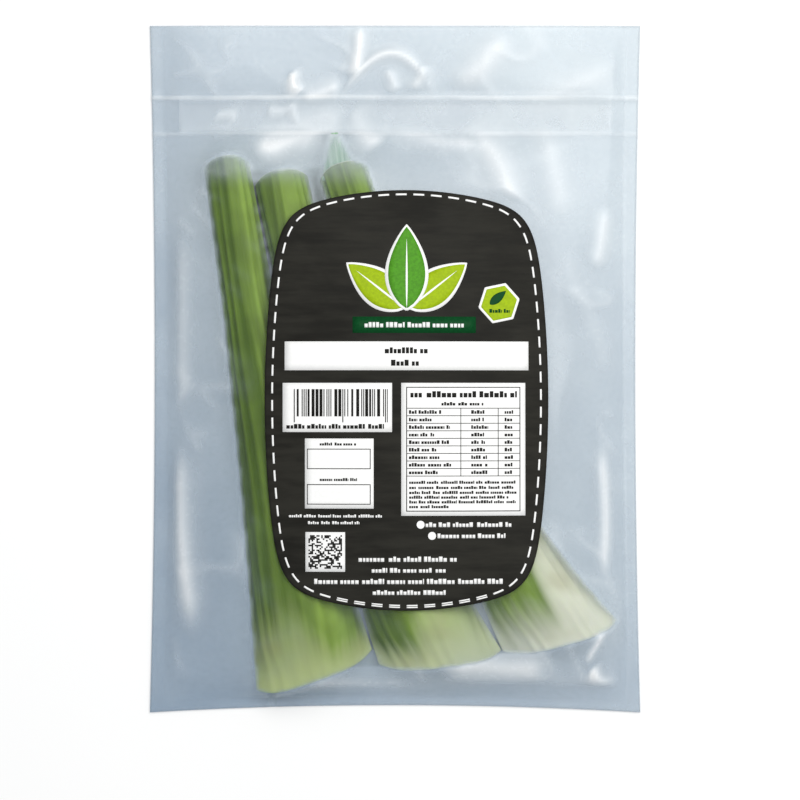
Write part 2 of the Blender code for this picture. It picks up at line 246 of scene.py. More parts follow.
class Surface:
    """Finds the highest point of some pieces over a spot of the table."""

    DOWN = Vector((0, 0, -1))

    def __init__(self, *pieces):
        graph = bpy.context.evaluated_depsgraph_get()
        self.trees = [BVHTree.FromObject(piece, graph) for piece in pieces]

    def height(self, x, y):
        """The height there, or 0 where there is nothing."""
        found = [tree.ray_cast(Vector((x, y, 1)), self.DOWN)[0] for tree in self.trees]
        return max([hit.z for hit in found if hit], default=0.0)


# ---------------------------------------------------------------- node trees


class Graph:
    """Adds nodes to a tree. An input takes a plain value or another node's output."""

    def __init__(self, tree):
        self.tree = tree

    def feed(self, socket, value):
        if isinstance(value, bpy.types.NodeSocket):
            self.tree.links.new(value, socket)
        else:
            socket.default_value = value

    def feed_all(self, node, inputs):
        for name, value in inputs.items():
            self.feed(node.inputs[name], value)

    def add(self, kind, inputs=None, **settings):
        node = self.tree.nodes.new(kind)
        for name, value in settings.items():
            setattr(node, name, value)
        self.feed_all(node, inputs or {})
        return node

    def calc(self, operation, first, second=0.0, clamp=False):
        node = self.add("ShaderNodeMath", operation=operation, use_clamp=clamp)
        self.feed(node.inputs[0], first)
        self.feed(node.inputs[1], second)
        return node.outputs[0]

    def times(self, first, second):
        return self.calc("MULTIPLY", first, second)

    def less(self, first, second):
        return self.calc("SUBTRACT", first, second)

    def plus(self, total, value, factor=1.0, clamp=False):
        """The total and this many times the value."""
        if factor != 1.0:
            value = self.times(value, factor)
        return self.calc("ADD", total, value, clamp)

    def stretched(self, vector, factors):
        """The vector with each of its parts multiplied, which squeezes a pattern that reads it."""
        node = self.add("ShaderNodeVectorMath", operation="MULTIPLY")
        self.feed(node.inputs[0], vector)
        node.inputs[1].default_value = factors
        return node.outputs[0]

    def mix(self, factor, first, second, blend="MIX"):
        """Two colours mixed. A Mix node's inputs 6 and 7 and its output 2 are its colours."""
        node = self.add("ShaderNodeMix", data_type="RGBA", blend_type=blend, clamp_factor=True)
        self.feed(node.inputs[0], factor)
        self.feed(node.inputs[6], first)
        self.feed(node.inputs[7], second)
        return node.outputs[2]

    def span(self, value, low, high, to_low=0.0, to_high=1.0):
        """The value's way from low to high, as a smooth way from to_low to to_high."""
        inputs = {"Value": value, "From Min": low, "From Max": high, "To Min": to_low, "To Max": to_high}
        return self.add("ShaderNodeMapRange", inputs, interpolation_type="SMOOTHSTEP").outputs[0]

    def noise(self, vector, scale, detail, roughness):
        inputs = {"Vector": vector, "Scale": scale, "Detail": detail, "Roughness": roughness}
        return self.add("ShaderNodeTexNoise", inputs).outputs["Fac"]

    def attribute(self, name):
        return self.add("ShaderNodeAttribute", attribute_name=name).outputs["Fac"]

    def place(self):
        """The spot on the piece, which is the spot on the table too."""
        return self.add("ShaderNodeTexCoord").outputs["Object"]

    def bump(self, height, strength, distance):
        inputs = {"Height": height, "Strength": strength, "Distance": distance}
        return self.add("ShaderNodeBump", inputs).outputs["Normal"]


def rgba(values, brightness=1.0):
    """A colour as the nodes take it, made this many times as bright."""
    return (*(min(1.0, value * brightness) for value in values), 1.0)


COLOUR, NUMBER = "NodeSocketColor", "NodeSocketFloat"


def node_group(name, defaults, outputs, build):
    """A shader node group, made once. build(graph, the inputs by name) gives the outputs by name."""
    tree = bpy.data.node_groups.get(name)
    if tree:
        return tree
    tree = bpy.data.node_groups.new(name, "ShaderNodeTree")
    for label, default in defaults.items():
        kind = NUMBER if isinstance(default, float) else COLOUR
        socket = tree.interface.new_socket(label, in_out="INPUT", socket_type=kind)
        socket.default_value = default
    for label, kind in outputs.items():
        tree.interface.new_socket(label, in_out="OUTPUT", socket_type=kind)
    graph = Graph(tree)
    entry = graph.add("NodeGroupInput")
    made = build(graph, entry.outputs)
    graph.add("NodeGroupOutput", made)
    return tree


def new_material(name):
    """A material with only its output and its Principled shader, and the graph to build on."""
    made = bpy.data.materials.new(name)
    made.use_nodes = True
    graph = Graph(made.node_tree)
    return made, graph, made.node_tree.nodes["Principled BSDF"]


# ---------------------------------------------------------------- stalks

TOP_CROWN = 0.0146  # height of the ribbed back at the top
BASE_WALL, TOP_WALL = 0.0150, 0.0118  # thickness through the middle
EDGE_HEIGHT, EDGE_SLANT = 0.0035, 0.0028  # the thin long edges
HEEL_LENGTH, HEEL_SHARE = 0.10, 0.58  # the base thins towards its cut
CORNER_SHARE = 0.09  # how far the base's corners are rounded off, as a share of its width
CUT_FADE = 0.30  # the slant of the base's cut fades out over this share of the length
TOP_CORNER, TOP_FADE = 0.20, 0.06  # how far the top's corners are rounded off, and over which share
ARC_CELLS = 96  # across each side of a stalk
TURN_CELLS = 6  # round each long edge
STALK_ROWS = 150
ROW_CROWDING = 1.15  # above 1, the rows lie closer together towards the base
STUB_LENGTH, STUB_OVERLAP = 0.0185, 0.0055
STUB_WIDTH, STUB_TIP_WIDTH, STUB_FLATNESS = 0.0150, 0.0026, 0.62
STUB_HEIGHT, STUB_OFFSET = 0.0076, 0.0013
STUB_LEAN = math.radians(9)
STUB_MARK = 1.06  # its "along" mark, past the 1 of a stalk's top
# How a cut face closes: (how far in towards the section's middle line, how far out past the cut).
CUT_ROWS = ((0.03, 0.00022), (0.12, 0.00040), (0.40, 0.00050), (0.70, 0.00046), (1.0, 0.00040))


@dataclass
class Stalk:
    """One cut stalk. Its insets run from its CAD solid's box to the middle of its base and its top."""

    piece: str
    node: str
    base_inset: tuple  # from the box's right side and its lower side
    top_inset: tuple  # from the box's left side and its upper side
    base_width: float
    top_width: float
    base_crown: float  # height of its ribbed back at the base
    bow: float  # how far its middle stands to its left
    flare: float  # the higher, the closer to the base it widens
    cut_slope: float  # how steeply the base's cut slants
    lightness: float  # how much of the ribs' lighter green it has all over
    side_at: float  # where its right side starts, which gets painted light and further cream, from -1 at its left edge to 1 at its right
    painted_side_light: float  # how much lighter the painted light makes its right side
    side_cream: float  # how much further up the cream reaches on its right side
    paleness: float  # how far up the cream of the base reaches, as a share of its length
    whiteness: float  # how white its cream is

    def __post_init__(self):
        low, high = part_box(self.node)
        self.base = Vector((high.x - self.base_inset[0], low.y + self.base_inset[1]))
        self.top = Vector((low.x + self.top_inset[0], high.y - self.top_inset[1]))
        self.chord = self.top - self.base
        self.left = Vector((-self.chord.y, self.chord.x)).normalized()

    def direction(self, t):
        """The way the stalk runs at t, from 0 at the base to 1 at the top."""
        return (self.chord + self.left * self.bow * 4 * (1 - 2 * t)).normalized()

    def middle(self, t):
        return self.base + self.chord * t + self.left * self.bow * 4 * t * (1 - t)

    def half_width(self, t):
        return (self.top_width + (self.base_width - self.top_width) * (1 - t) ** self.flare) / 2

    def heel(self, t):
        return HEEL_SHARE + (1 - HEEL_SHARE) * smoothstep(t / HEEL_LENGTH)

    def crown(self, t):
        return (self.base_crown + (TOP_CROWN - self.base_crown) * t) * self.heel(t)

    def wall(self, t):
        return (BASE_WALL + (TOP_WALL - BASE_WALL) * t) * self.heel(t)

    def cut_shift(self, t, across):
        """How far the base's slanting, rounded cut moves a point along the stalk."""
        reach = np.abs(across / self.half_width(t))
        low = reach**4 * self.base_width * CORNER_SHARE - across * self.cut_slope
        high = reach**2.6 * self.top_width * TOP_CORNER
        return low * (1 - smoothstep(t / CUT_FADE)) - high * smoothstep(1 - (1 - t) / TOP_FADE)


STALKS = (
    Stalk(
        piece="celery_left", node="stalk_left",
        base_inset=(0.02265, 0.00485), top_inset=(0.00904, 0.00139),
        base_width=0.0493, top_width=0.0180, base_crown=0.0208, bow=0.0010, flare=1.65, cut_slope=-0.15,
        lightness=0.0, side_at=0.12, painted_side_light=0.85, side_cream=-0.05, paleness=0.080, whiteness=0.0,
    ),
    Stalk(
        piece="celery_middle", node="stalk_middle",
        base_inset=(0.02303, 0.00127), top_inset=(0.01078, 0.00217),
        base_width=0.0474, top_width=0.0220, base_crown=0.0203, bow=0.0066, flare=1.80, cut_slope=0.34,
        lightness=0.12, side_at=-0.10, painted_side_light=1.0, side_cream=0.06, paleness=0.030, whiteness=0.3,
    ),
    Stalk(
        piece="celery_right", node="stalk_right",
        base_inset=(0.02096, 0.00374), top_inset=(0.00980, 0.01294),
        base_width=0.0457, top_width=0.0204, base_crown=0.0198, bow=0.0086, flare=2.40, cut_slope=0.34,
        lightness=0.34, side_at=0.30, painted_side_light=0.66, side_cream=0.32, paleness=0.055, whiteness=0.9,
    ),
)


def arc(half_width, rise, foot, shares, lift):
    """(across, height) along a round arc from left to right, rising this far above foot."""
    radius = (half_width**2 + rise**2) / (2 * rise)
    sweep = math.asin(min(1.0, half_width / radius))
    if rise > half_width:
        sweep = math.pi - sweep
    across = (radius + lift) * np.sin(sweep * shares)
    height = foot + rise - radius + (radius + lift) * np.cos(sweep * shares)
    return np.stack([across, height], 1)


def turn(start, end, bulge):
    """Points between the ends of a rounded long edge, without the ends."""
    s = np.linspace(0, 1, TURN_CELLS + 1)[1:-1, None]
    corner = np.array([start[0], end[1] + bulge])
    return start * (1 - s) ** 2 + corner * 2 * s * (1 - s) + end * s**2


def rib_waves(shares, t, seed, ribs):
    """Ribs across a stalk: 1 on a rib, 0 in a groove. They wander a little along it."""
    wander = [0.20 * noise.noise(Vector((s * 2.2 + seed, t * 3.0, seed))) for s in shares]
    phase = math.pi * ribs * (shares + 1 + np.array(wander))
    return (0.5 + 0.5 * np.cos(phase)) ** 1.4


def stalk_section(stalk, t, seed, settings):
    """The section at t: its closed loop, the middle line that it closes to, and its marks."""
    shares = np.linspace(-1, 1, ARC_CELLS + 1)
    edge_fade = 1 - np.abs(shares) ** 6
    waves = rib_waves(shares, t, seed, settings.ribs)
    height = settings.rib_height * (0.55 + 0.45 * smoothstep(t / 0.25))
    swell = np.array([noise.noise(Vector((s * 1.3, t * 5.0, seed))) for s in shares])
    lift = edge_fade * (height * (waves - 0.45) + 0.0004 * swell)
    width, crown, wall = stalk.half_width(t), stalk.crown(t), stalk.wall(t)
    outside = arc(width, crown - EDGE_HEIGHT, FOOT + EDGE_HEIGHT, shares, lift)
    inside = arc(width - EDGE_SLANT, crown - wall, FOOT, shares, 0 * lift)
    right = turn(outside[-1], inside[-1], 0.0004)
    left = turn(outside[0], inside[0], 0.0004)[::-1]
    loop = np.concatenate([outside, right, inside[::-1], left, outside[:1]])
    middle = (outside + inside) / 2
    ends = np.ones((TURN_CELLS - 1, 1))
    centre = np.concatenate([middle, ends * middle[-1], middle[::-1], ends * middle[0], middle[:1]])
    edge = np.ones(TURN_CELLS - 1)
    across = np.concatenate([shares, edge, shares[::-1], -edge, shares[:1]])
    hollow = np.concatenate([0 * shares, 0.5 * edge, 0 * shares + 1, 0.5 * edge, [0]])
    rib = np.concatenate([waves * edge_fade, 0 * edge, 0 * shares, 0 * edge, [waves[0] * edge_fade[0]]])
    return loop, centre, np.stack([across, hollow, rib], 1)


def laid(stalk, t, points, out):
    """Lays (across, height) points of the section at t in the pouch, this far out past a cut."""
    along = stalk.direction(t)
    right = Vector((along.y, -along.x))
    middle = stalk.middle(t) + along * out
    across, height = points[:, 0], points[:, 1]
    shift = stalk.cut_shift(t, across)
    x = middle.x + right.x * across + along.x * shift
    y = middle.y + right.y * across + along.y * shift
    return np.stack([x, y, height], 1)


def stalk_rows(stalk, seed, settings):
    """Every row of points along a stalk, from its cut base to its cut top, with each row's marks."""
    rows, marks = [], []

    def add(t, points, sides, out=0.0, cut=0.0):
        rows.append(laid(stalk, t, points, out))
        flat = np.full((len(points), 2), (t, cut))
        marks.append(np.concatenate([sides, flat], 1))

    loop, centre, sides = stalk_section(stalk, 0.0, seed, settings)
    for inward, out in reversed(CUT_ROWS):
        add(0.0, loop + (centre - loop) * inward, sides, -out, 1.0)
    for row in range(STALK_ROWS + 1):
        t = (row / STALK_ROWS) ** ROW_CROWDING
        points, _, sides = stalk_section(stalk, t, seed, settings)
        add(t, points, sides)
    loop, centre, sides = stalk_section(stalk, 1.0, seed, settings)
    for inward, out in CUT_ROWS:
        add(1.0, loop + (centre - loop) * inward, sides, out, 1.0)
    return np.array(rows), np.array(marks)


MARKS = ("across", "hollow", "rib", "along", "cut")


def stalk_mesh(stalk, seed, settings):
    """A stalk's closed surface, with marks that its skin's colours follow."""
    rows, marks = stalk_rows(stalk, seed, settings)
    bm = sheet_mesh(rows, {name: marks[:, :, k] for k, name in enumerate(MARKS)})
    bmesh.ops.remove_doubles(bm, verts=bm.verts, dist=0.000002)
    bmesh.ops.recalc_face_normals(bm, faces=bm.faces)
    return bm


def stub_place(stalk):
    """Where the stub of a side branch is rooted, the way it points, and its left."""
    along = stalk.direction(1.0)
    heading = math.atan2(along.y, along.x) - STUB_LEAN
    along = Vector((math.cos(heading), math.sin(heading), 0))
    left = Vector((-along.y, along.x, 0))
    root = stalk.middle(1.0).to_3d() - along * STUB_OVERLAP + left * STUB_OFFSET
    root.z = FOOT + STUB_HEIGHT
    return root, along, left


def stub_mesh(root, along, left):
    """The stub: a flattened, ridged cone."""
    bm = bmesh.new()
    bmesh.ops.create_cone(bm, cap_ends=True, segments=40, radius1=1, radius2=1, depth=2)
    upright = [edge for edge in bm.edges if abs(edge.verts[0].co.z - edge.verts[1].co.z) > 1]
    bmesh.ops.subdivide_edges(bm, edges=upright, cuts=24)
    for vert in bm.verts:
        t = (vert.co.z + 1) / 2
        angle = math.atan2(vert.co.y, vert.co.x)
        half = (STUB_WIDTH + (STUB_TIP_WIDTH - STUB_WIDTH) * t**1.15) / 2
        ridge = 1 + 0.05 * math.cos(5 * angle) + 0.10 * max(0.0, math.sin(angle)) ** 6
        spot = root + along * STUB_LENGTH * t
        spot += left * (-half * ridge * math.cos(angle))
        spot.z += half * STUB_FLATNESS * ridge * math.sin(angle)
        vert.co = spot
    bmesh.ops.recalc_face_normals(bm, faces=bm.faces)
    return bm


def fuse(piece, part):
    """Makes the piece one closed surface with the part, which is used up."""
    union = piece.modifiers.new("union", "BOOLEAN")
    union.operation = "UNION"
    union.object = part
    bpy.context.view_layer.update()
    graph = bpy.context.evaluated_depsgraph_get()
    mesh = bpy.data.meshes.new_from_object(piece.evaluated_get(graph))
    piece.modifiers.remove(union)
    piece.data = mesh
    bpy.data.objects.remove(part)


def add_stub(stalk, piece):
    """Joins the stub of a cut side branch to the top of this stalk."""
    root, along, left = stub_place(stalk)
    mesh = new_mesh(stub_mesh(root, along, left), "stub", piece.data.materials[0])
    fuse(piece, new_object("stub", mesh))
    # The union leaves the stub's own vertices unmarked.
    alongs, acrosses = [piece.data.attributes[name].data for name in ("along", "across")]
    for vert in piece.data.vertices:
        if alongs[vert.index].value < 0.5 and vert.co.y > stalk.middle(0.9).y:
            reach = vert.co - root
            alongs[vert.index].value = STUB_MARK + 0.1 * reach.dot(along) / STUB_LENGTH
            acrosses[vert.index].value = -reach.dot(left) / (STUB_WIDTH / 2)


STREAKS, FIBRES = (7.0, 1.6, 1.0), (46.0, 5.0, 1.0)  # how finely they run across and along a stalk
STAIN = (0.270, 0.250, 0.110, 1.0)  # olive, on the cream
BRANCH_DARK, BRANCH_LIGHT = (0.16, 0.36, 0.19, 1.0), (0.44, 0.62, 0.47, 1.0)


def skin_green(graph, given, mark, streaks, fibres, right):
    """The green of the ribs and the grooves, in streaks, with painted light that makes the stalk's right
    side lighter.
    """
    lit = graph.plus(given["Lightness"], mark["rib"], 0.22)
    lit = graph.plus(lit, graph.less(streaks, 0.45), 0.75)
    lit = graph.plus(lit, graph.less(fibres, 0.5), 0.35)
    # Painted light: the right side is lighter, as if lit from the right, fading again near its right edge.
    side = graph.times(right, graph.span(mark["across"], 0.62, 0.98, 1.0, 0.45))
    lit = graph.plus(lit, side, given["Painted side light"], clamp=True)
    green = graph.mix(lit, given["Dark"], given["Light"])
    cloud = graph.span(graph.noise(graph.place(), 55.0, 3.0, 0.55), 0.35, 0.7, 0.86, 1.12)
    grey = graph.add("ShaderNodeCombineColor", {"Red": cloud, "Green": cloud, "Blue": cloud})
    return graph.mix(1.0, green, grey.outputs[0], "MULTIPLY")


def skin_cream(graph, given, mark, skin, streaks, right):
    """The skin with the stained cream of the base over it, and long edges made paler: partly pale flesh,
    partly painted light that lifts their shade.
    """
    reach = graph.plus(given["Paleness"], right, given["Side cream"])
    reach = graph.plus(reach, graph.less(streaks, 0.5), 0.045)
    rise = graph.calc("DIVIDE", mark["along"], graph.calc("MAXIMUM", reach, 0.02))
    pale = graph.span(rise, 0.0, 2.3, 1.0, 0.0)
    skin = graph.mix(pale, skin, given["Pale"])
    stains = graph.span(graph.noise(graph.place(), 38.0, 2.0, 0.5), 0.46, 0.66, 0.0, 0.38)
    skin = graph.mix(graph.times(pale, stains), skin, STAIN)
    # Paler long edges: partly pale flesh, partly painted light that lifts the shade where the sides turn
    # away.
    pale_rim_and_painted_light = graph.span(graph.calc("ABSOLUTE", mark["across"]), 0.80, 1.0, 0.0, 0.40)
    return graph.mix(pale_rim_and_painted_light, skin, given["Pale"])


def skin_cuts(graph, given, mark, skin):
    """The skin with the pale flesh of the hollow side and the stranded flesh of the cuts over it."""
    flesh = graph.mix(0.35, given["Pale"], given["Light"])
    skin = graph.mix(graph.times(mark["hollow"], 0.55), skin, flesh)
    cells = graph.add("ShaderNodeTexVoronoi", {"Vector": graph.place(), "Scale": 420.0})
    strands = graph.span(cells.outputs["Distance"], 0.10, 0.28, 0.75, 1.0)
    face = graph.mix(strands, given["Light"], graph.mix(0.25, given["Pale"], given["Light"]))
    return graph.mix(mark["cut"], skin, face)


def build_skin(graph, given):
    """Celery skin: green streaked along the ribs, cream at the base and paler on the cuts."""
    mark = {name: graph.attribute(name) for name in MARKS}
    flat = graph.add("ShaderNodeCombineXYZ", {"X": mark["across"], "Y": mark["along"]}).outputs[0]
    streaks = graph.noise(graph.stretched(flat, STREAKS), 1.0, 2.5, 0.5)
    fibres = graph.noise(graph.stretched(flat, FIBRES), 1.0, 3.0, 0.6)
    # right: the stalk's right side, which gets painted light and further cream.
    right = graph.span(graph.less(mark["across"], given["Side at"]), -0.25, 0.25)
    skin = skin_green(graph, given, mark, streaks, fibres, right)
    skin = skin_cream(graph, given, mark, skin, streaks, right)
    skin = skin_cuts(graph, given, mark, skin)
    branch = graph.mix(graph.span(streaks, 0.3, 0.65), BRANCH_DARK, BRANCH_LIGHT)
    skin = graph.mix(graph.span(mark["along"], 1.0, 1.04, 0.0, 0.9), skin, branch)
    specks = graph.noise(graph.place(), 2600.0, 2.0, 0.6)
    grain = graph.plus(graph.times(fibres, 0.75), specks, 0.25)
    return {"Colour": skin, "Grain": grain, "Roughness": graph.span(streaks, 0.3, 0.7, 0.38, 0.52)}


def celery_material(stalk, settings):
    """Moist celery skin for one stalk."""
    tree = node_group(
        "celery skin",
        {"Dark": rgba(settings.dark), "Light": rgba(settings.light), "Pale": rgba(settings.pale),
         "Lightness": 0.0, "Side at": 0.0, "Painted side light": 0.0, "Side cream": 0.0, "Paleness": 0.1},
        {"Colour": COLOUR, "Grain": NUMBER, "Roughness": NUMBER},
        build_skin,
    )
    made, graph, shader = new_material(stalk.piece)
    cream = Vector(settings.pale).lerp(Vector(settings.white), stalk.whiteness)
    skin = graph.add("ShaderNodeGroup", {
        "Pale": rgba(cream), "Lightness": stalk.lightness, "Side at": stalk.side_at,
        "Painted side light": stalk.painted_side_light, "Side cream": stalk.side_cream, "Paleness": stalk.paleness,
    }, node_tree=tree).outputs
    graph.feed_all(shader, {
        "Base Color": skin["Colour"], "Roughness": skin["Roughness"],
        "Normal": graph.bump(skin["Grain"], 0.35, 0.0003),
        "Subsurface Weight": 0.12, "Subsurface Radius": (0.6, 1.0, 0.3), "Subsurface Scale": 0.002,
        "IOR": 1.42, "Specular IOR Level": 0.1,
    })
    return made


class CELERY_OT_stalks(bpy.types.Operator):
    """Add the three cut celery stalks"""

    bl_idname = "celery.stalks"
    bl_label = "Add Stalks"

    def execute(self, context):
        settings = context.scene.celery_stalks
        for seed, stalk in enumerate(STALKS, 3):
            bm = stalk_mesh(stalk, seed, settings)
            finish = celery_material(stalk, settings)
            piece = finish_piece(bm, stalk.piece, [stalk.node], finish)
            if stalk is STALKS[-1]:
                add_stub(stalk, piece)
        return {"FINISHED"}


# ---------------------------------------------------------------- films

FILM_COLUMNS, FILM_ROWS = 160, 224
BACK_FOOT, BACK_RIPPLE = 0.00004, 0.00005  # the back film's height off the table, and its ripples
SIDE_DRAW = 0.002  # how far the filled pouch pulls each side in, halfway up
BOTTOM_DRAW = 0.003  # how far it pulls the bottom edge up, in the middle
LIP_GAPE = 0.0012  # the mouth's lips stand this far apart
FILM_CLEARANCE = 0.0004  # the front film keeps this far off what is in the pouch
TOP_FOG = 0.55  # how milky the film gets over the stalks' tops, where it lifts off to the zip
FOG_START, FOG_FADE = 0.026, 0.014  # how far below the zip that starts, and over what distance
ON_STALK = 0.002  # where the surface below is higher than this, the film lies on a stalk
SETTLE_ROUNDS = 420
OVER_RELAX = 1.88  # above 1, the film settles sooner
FOLD_FADE = 0.25  # a fold rises and falls over this share of its length, at each end
PAINTED_SHEEN_SPREAD = 2.6  # the painted sheen round a fold is this many times as wide as the fold
ZIP_MARGIN = 0.001
# The lines that the zip's ribs press right across: where, how high, and how strong the painted highlight
# along each is.
ZIP_RIBS = ((ZIP_HIGH.y + 0.0006, 0.00045, 1.0), (ZIP_LOW.y, 0.00022, 0.45))


@dataclass
class Fold:
    """A fold in the front film, from one spot to another, given in millimetres. Its height also sets the
    painted highlight along it.
    """

    start: tuple
    end: tuple
    height: float
    width: float
    bow: float = 0.0  # how far its middle stands to the left of a straight line


# Each fold's height also sets its painted highlight; the short, high ones are painted glints.
FOLDS = (
    Fold((83.6, -28), (84.5, -86), 0.9, 1.6),
    Fold((82.8, -104), (79.6, -121), 0.9, 1.0),
    Fold((78.5, -122), (87.5, -130), 1.9, 1.7),
    Fold((86.5, -130), (93.0, -133.5), 1.9, 1.5),
    Fold((58, -129), (97, -132), 0.8, 3.2),
    Fold((30, 106), (50, 62), 0.8, 4.2),
    Fold((58, 104), (68, 60), 0.5, 4.0),
    Fold((-58, 85.5), (-20, 107), 1.7, 3.6),
    Fold((-20, 105), (-4, 91), 1.2, 3.6),
    Fold((-6, 97), (42, 93), 0.7, 2.4),
    Fold((-39, 112), (-21, 114), 0.9, 2.4),
    Fold((-24, 110), (18, 109), 1.0, 1.7, 18),
    Fold((-3, 123), (-2, 112), 0.7, 1.6),
    Fold((10, 125), (9, 113), 0.8, 2.0),
    Fold((-44, 120), (-37.5, 112.5), 2.2, 1.5),
    Fold((-44, 108), (-37.5, 100.5), 2.2, 1.5),
    Fold((-52, 107), (-43.5, 103.5), 1.9, 1.4),
    Fold((-73, 105), (-65, 100), 1.5, 1.5),
    Fold((-13, 141), (-19, 118), 1.2, 1.7),
    Fold((46, 139), (24, 112), 0.6, 4.4),
    Fold((92, 128), (52, 100), 0.5, 4.6),
    Fold((-88, 60), (-84, -20), 0.5, 3.0),
    Fold((-88, -26), (-83, -112), 0.9, 3.4),
    Fold((70, 52), (86, -6), 0.25, 3.4),
    Fold((88, 66), (80, 40), 0.7, 2.0),
    Fold((-42, -129), (14, -132), 0.9, 2.0),
    Fold((16, -123), (66, -119), 0.9, 4.6),
)


def outline(u, v):
    """Where the flat pouch's point (u, v), each from -1 to 1, lies on the table."""
    half_width, half_length = POUCH_HIGH.x, POUCH_HIGH.y
    x = u * (half_width - SIDE_DRAW * (1 - v * v))
    y = v * half_length
    y = y + np.where(v < 0, BOTTOM_DRAW * (1 - u * u) * v * v, 0.0)
    return x, y


def highest_near(heights, reach):
    """The highest height within this many cells of each cell, in a square."""
    found = heights
    for axis in (0, 1):
        spread = found.copy()
        for step in range(1, reach + 1):
            for way in (step, -step):
                moved = np.roll(found, way, axis)
                edge = [slice(None), slice(None)]
                edge[axis] = slice(0, way) if way > 0 else slice(way, None)
                moved[tuple(edge)] = found[tuple(edge)]
                spread = np.maximum(spread, moved)
        found = spread
    return found


def bridged(heights, reach):
    """The heights with each dip narrower than twice the reach filled in."""
    return -highest_near(-highest_near(heights, reach), reach)


def neighbours(heights):
    """The sum of each point's four neighbours. Past an edge, the point itself stands in."""
    padded = np.pad(heights, 1, mode="edge")
    return padded[:-2, 1:-1] + padded[2:, 1:-1] + padded[1:-1, :-2] + padded[1:-1, 2:]


def blurred(heights, rounds):
    """The heights after this many rounds of averaging with their neighbours."""
    for _ in range(rounds):
        heights = heights / 2 + neighbours(heights) / 8
    return heights


def settled(heights, least, held, puff):
    """A stretched sheet over the least heights: held points stay, and the rest even out."""
    rows, columns = np.indices(heights.shape)
    for _ in range(SETTLE_ROUNDS):
        for turn_of in (0, 1):  # the points take turns, as a chessboard's colours
            moved = heights + OVER_RELAX * (neighbours(heights) / 4 + puff - heights)
            free = ((rows + columns) % 2 == turn_of) & ~held
            heights = np.where(free, np.maximum(least, moved), heights)
    return heights


def in_label(x, y, settings, grow=0.0):
    """Whether a spot lies under the label, or this near to it."""
    half_width, half_length = LABEL_HALF.x + grow, LABEL_HALF.y + grow
    across, along = np.abs(x - LABEL_MIDDLE.x), np.abs(y - LABEL_MIDDLE.y)
    side = half_width - settings.side_bow * np.minimum(1, along / half_length) ** 2
    end = half_length - settings.end_bow * np.minimum(1, across / half_width) ** 2
    return (across / side) ** settings.squareness + (along / end) ** settings.squareness < 1


def fold_heights(x, y):
    """The folds' heights over the pouch, and the painted highlight and sheen that whiten the film along and
    round them.
    """
    height, painted_fold_highlight = np.zeros(x.shape), np.zeros(x.shape)
    for k, fold in enumerate(FOLDS):
        start = np.array(fold.start) * MM
        way = np.array(fold.end) * MM - start
        length = np.hypot(*way)
        way = way / length
        along = (x - start[0]) * way[0] + (y - start[1]) * way[1]
        bend = 0.0016 * np.sin(along / length * (3.0 + k % 3) + k)
        bend += fold.bow * MM * 4 * along / length * (1 - along / length)
        across = (x - start[0]) * -way[1] + (y - start[1]) * way[0] - bend
        fade, width = length * FOLD_FADE, fold.width * MM
        ends = smoothstep(along / fade) * smoothstep((length - along) / fade)
        ridge = np.exp(-np.abs(across / width) ** 1.6) * ends
        painted_sheen = np.exp(-((across / (PAINTED_SHEEN_SPREAD * width)) ** 2)) * ends
        height += fold.height * MM * ridge
        painted_fold_highlight = np.maximum(painted_fold_highlight, (0.6 * ridge + 0.3 * painted_sheen) * fold.height)
    return height, painted_fold_highlight


def crumple(x, y, scale, seed):
    """Soft ridged noise over the pouch, from 0 to 1, highest along its creases."""
    flat = [
        1 - abs(noise.noise(Vector((a / scale + seed, b / scale, seed)))) * 2
        for a, b in zip(x.ravel(), y.ravel())
    ]
    return np.clip(np.array(flat), 0, 1).reshape(x.shape)


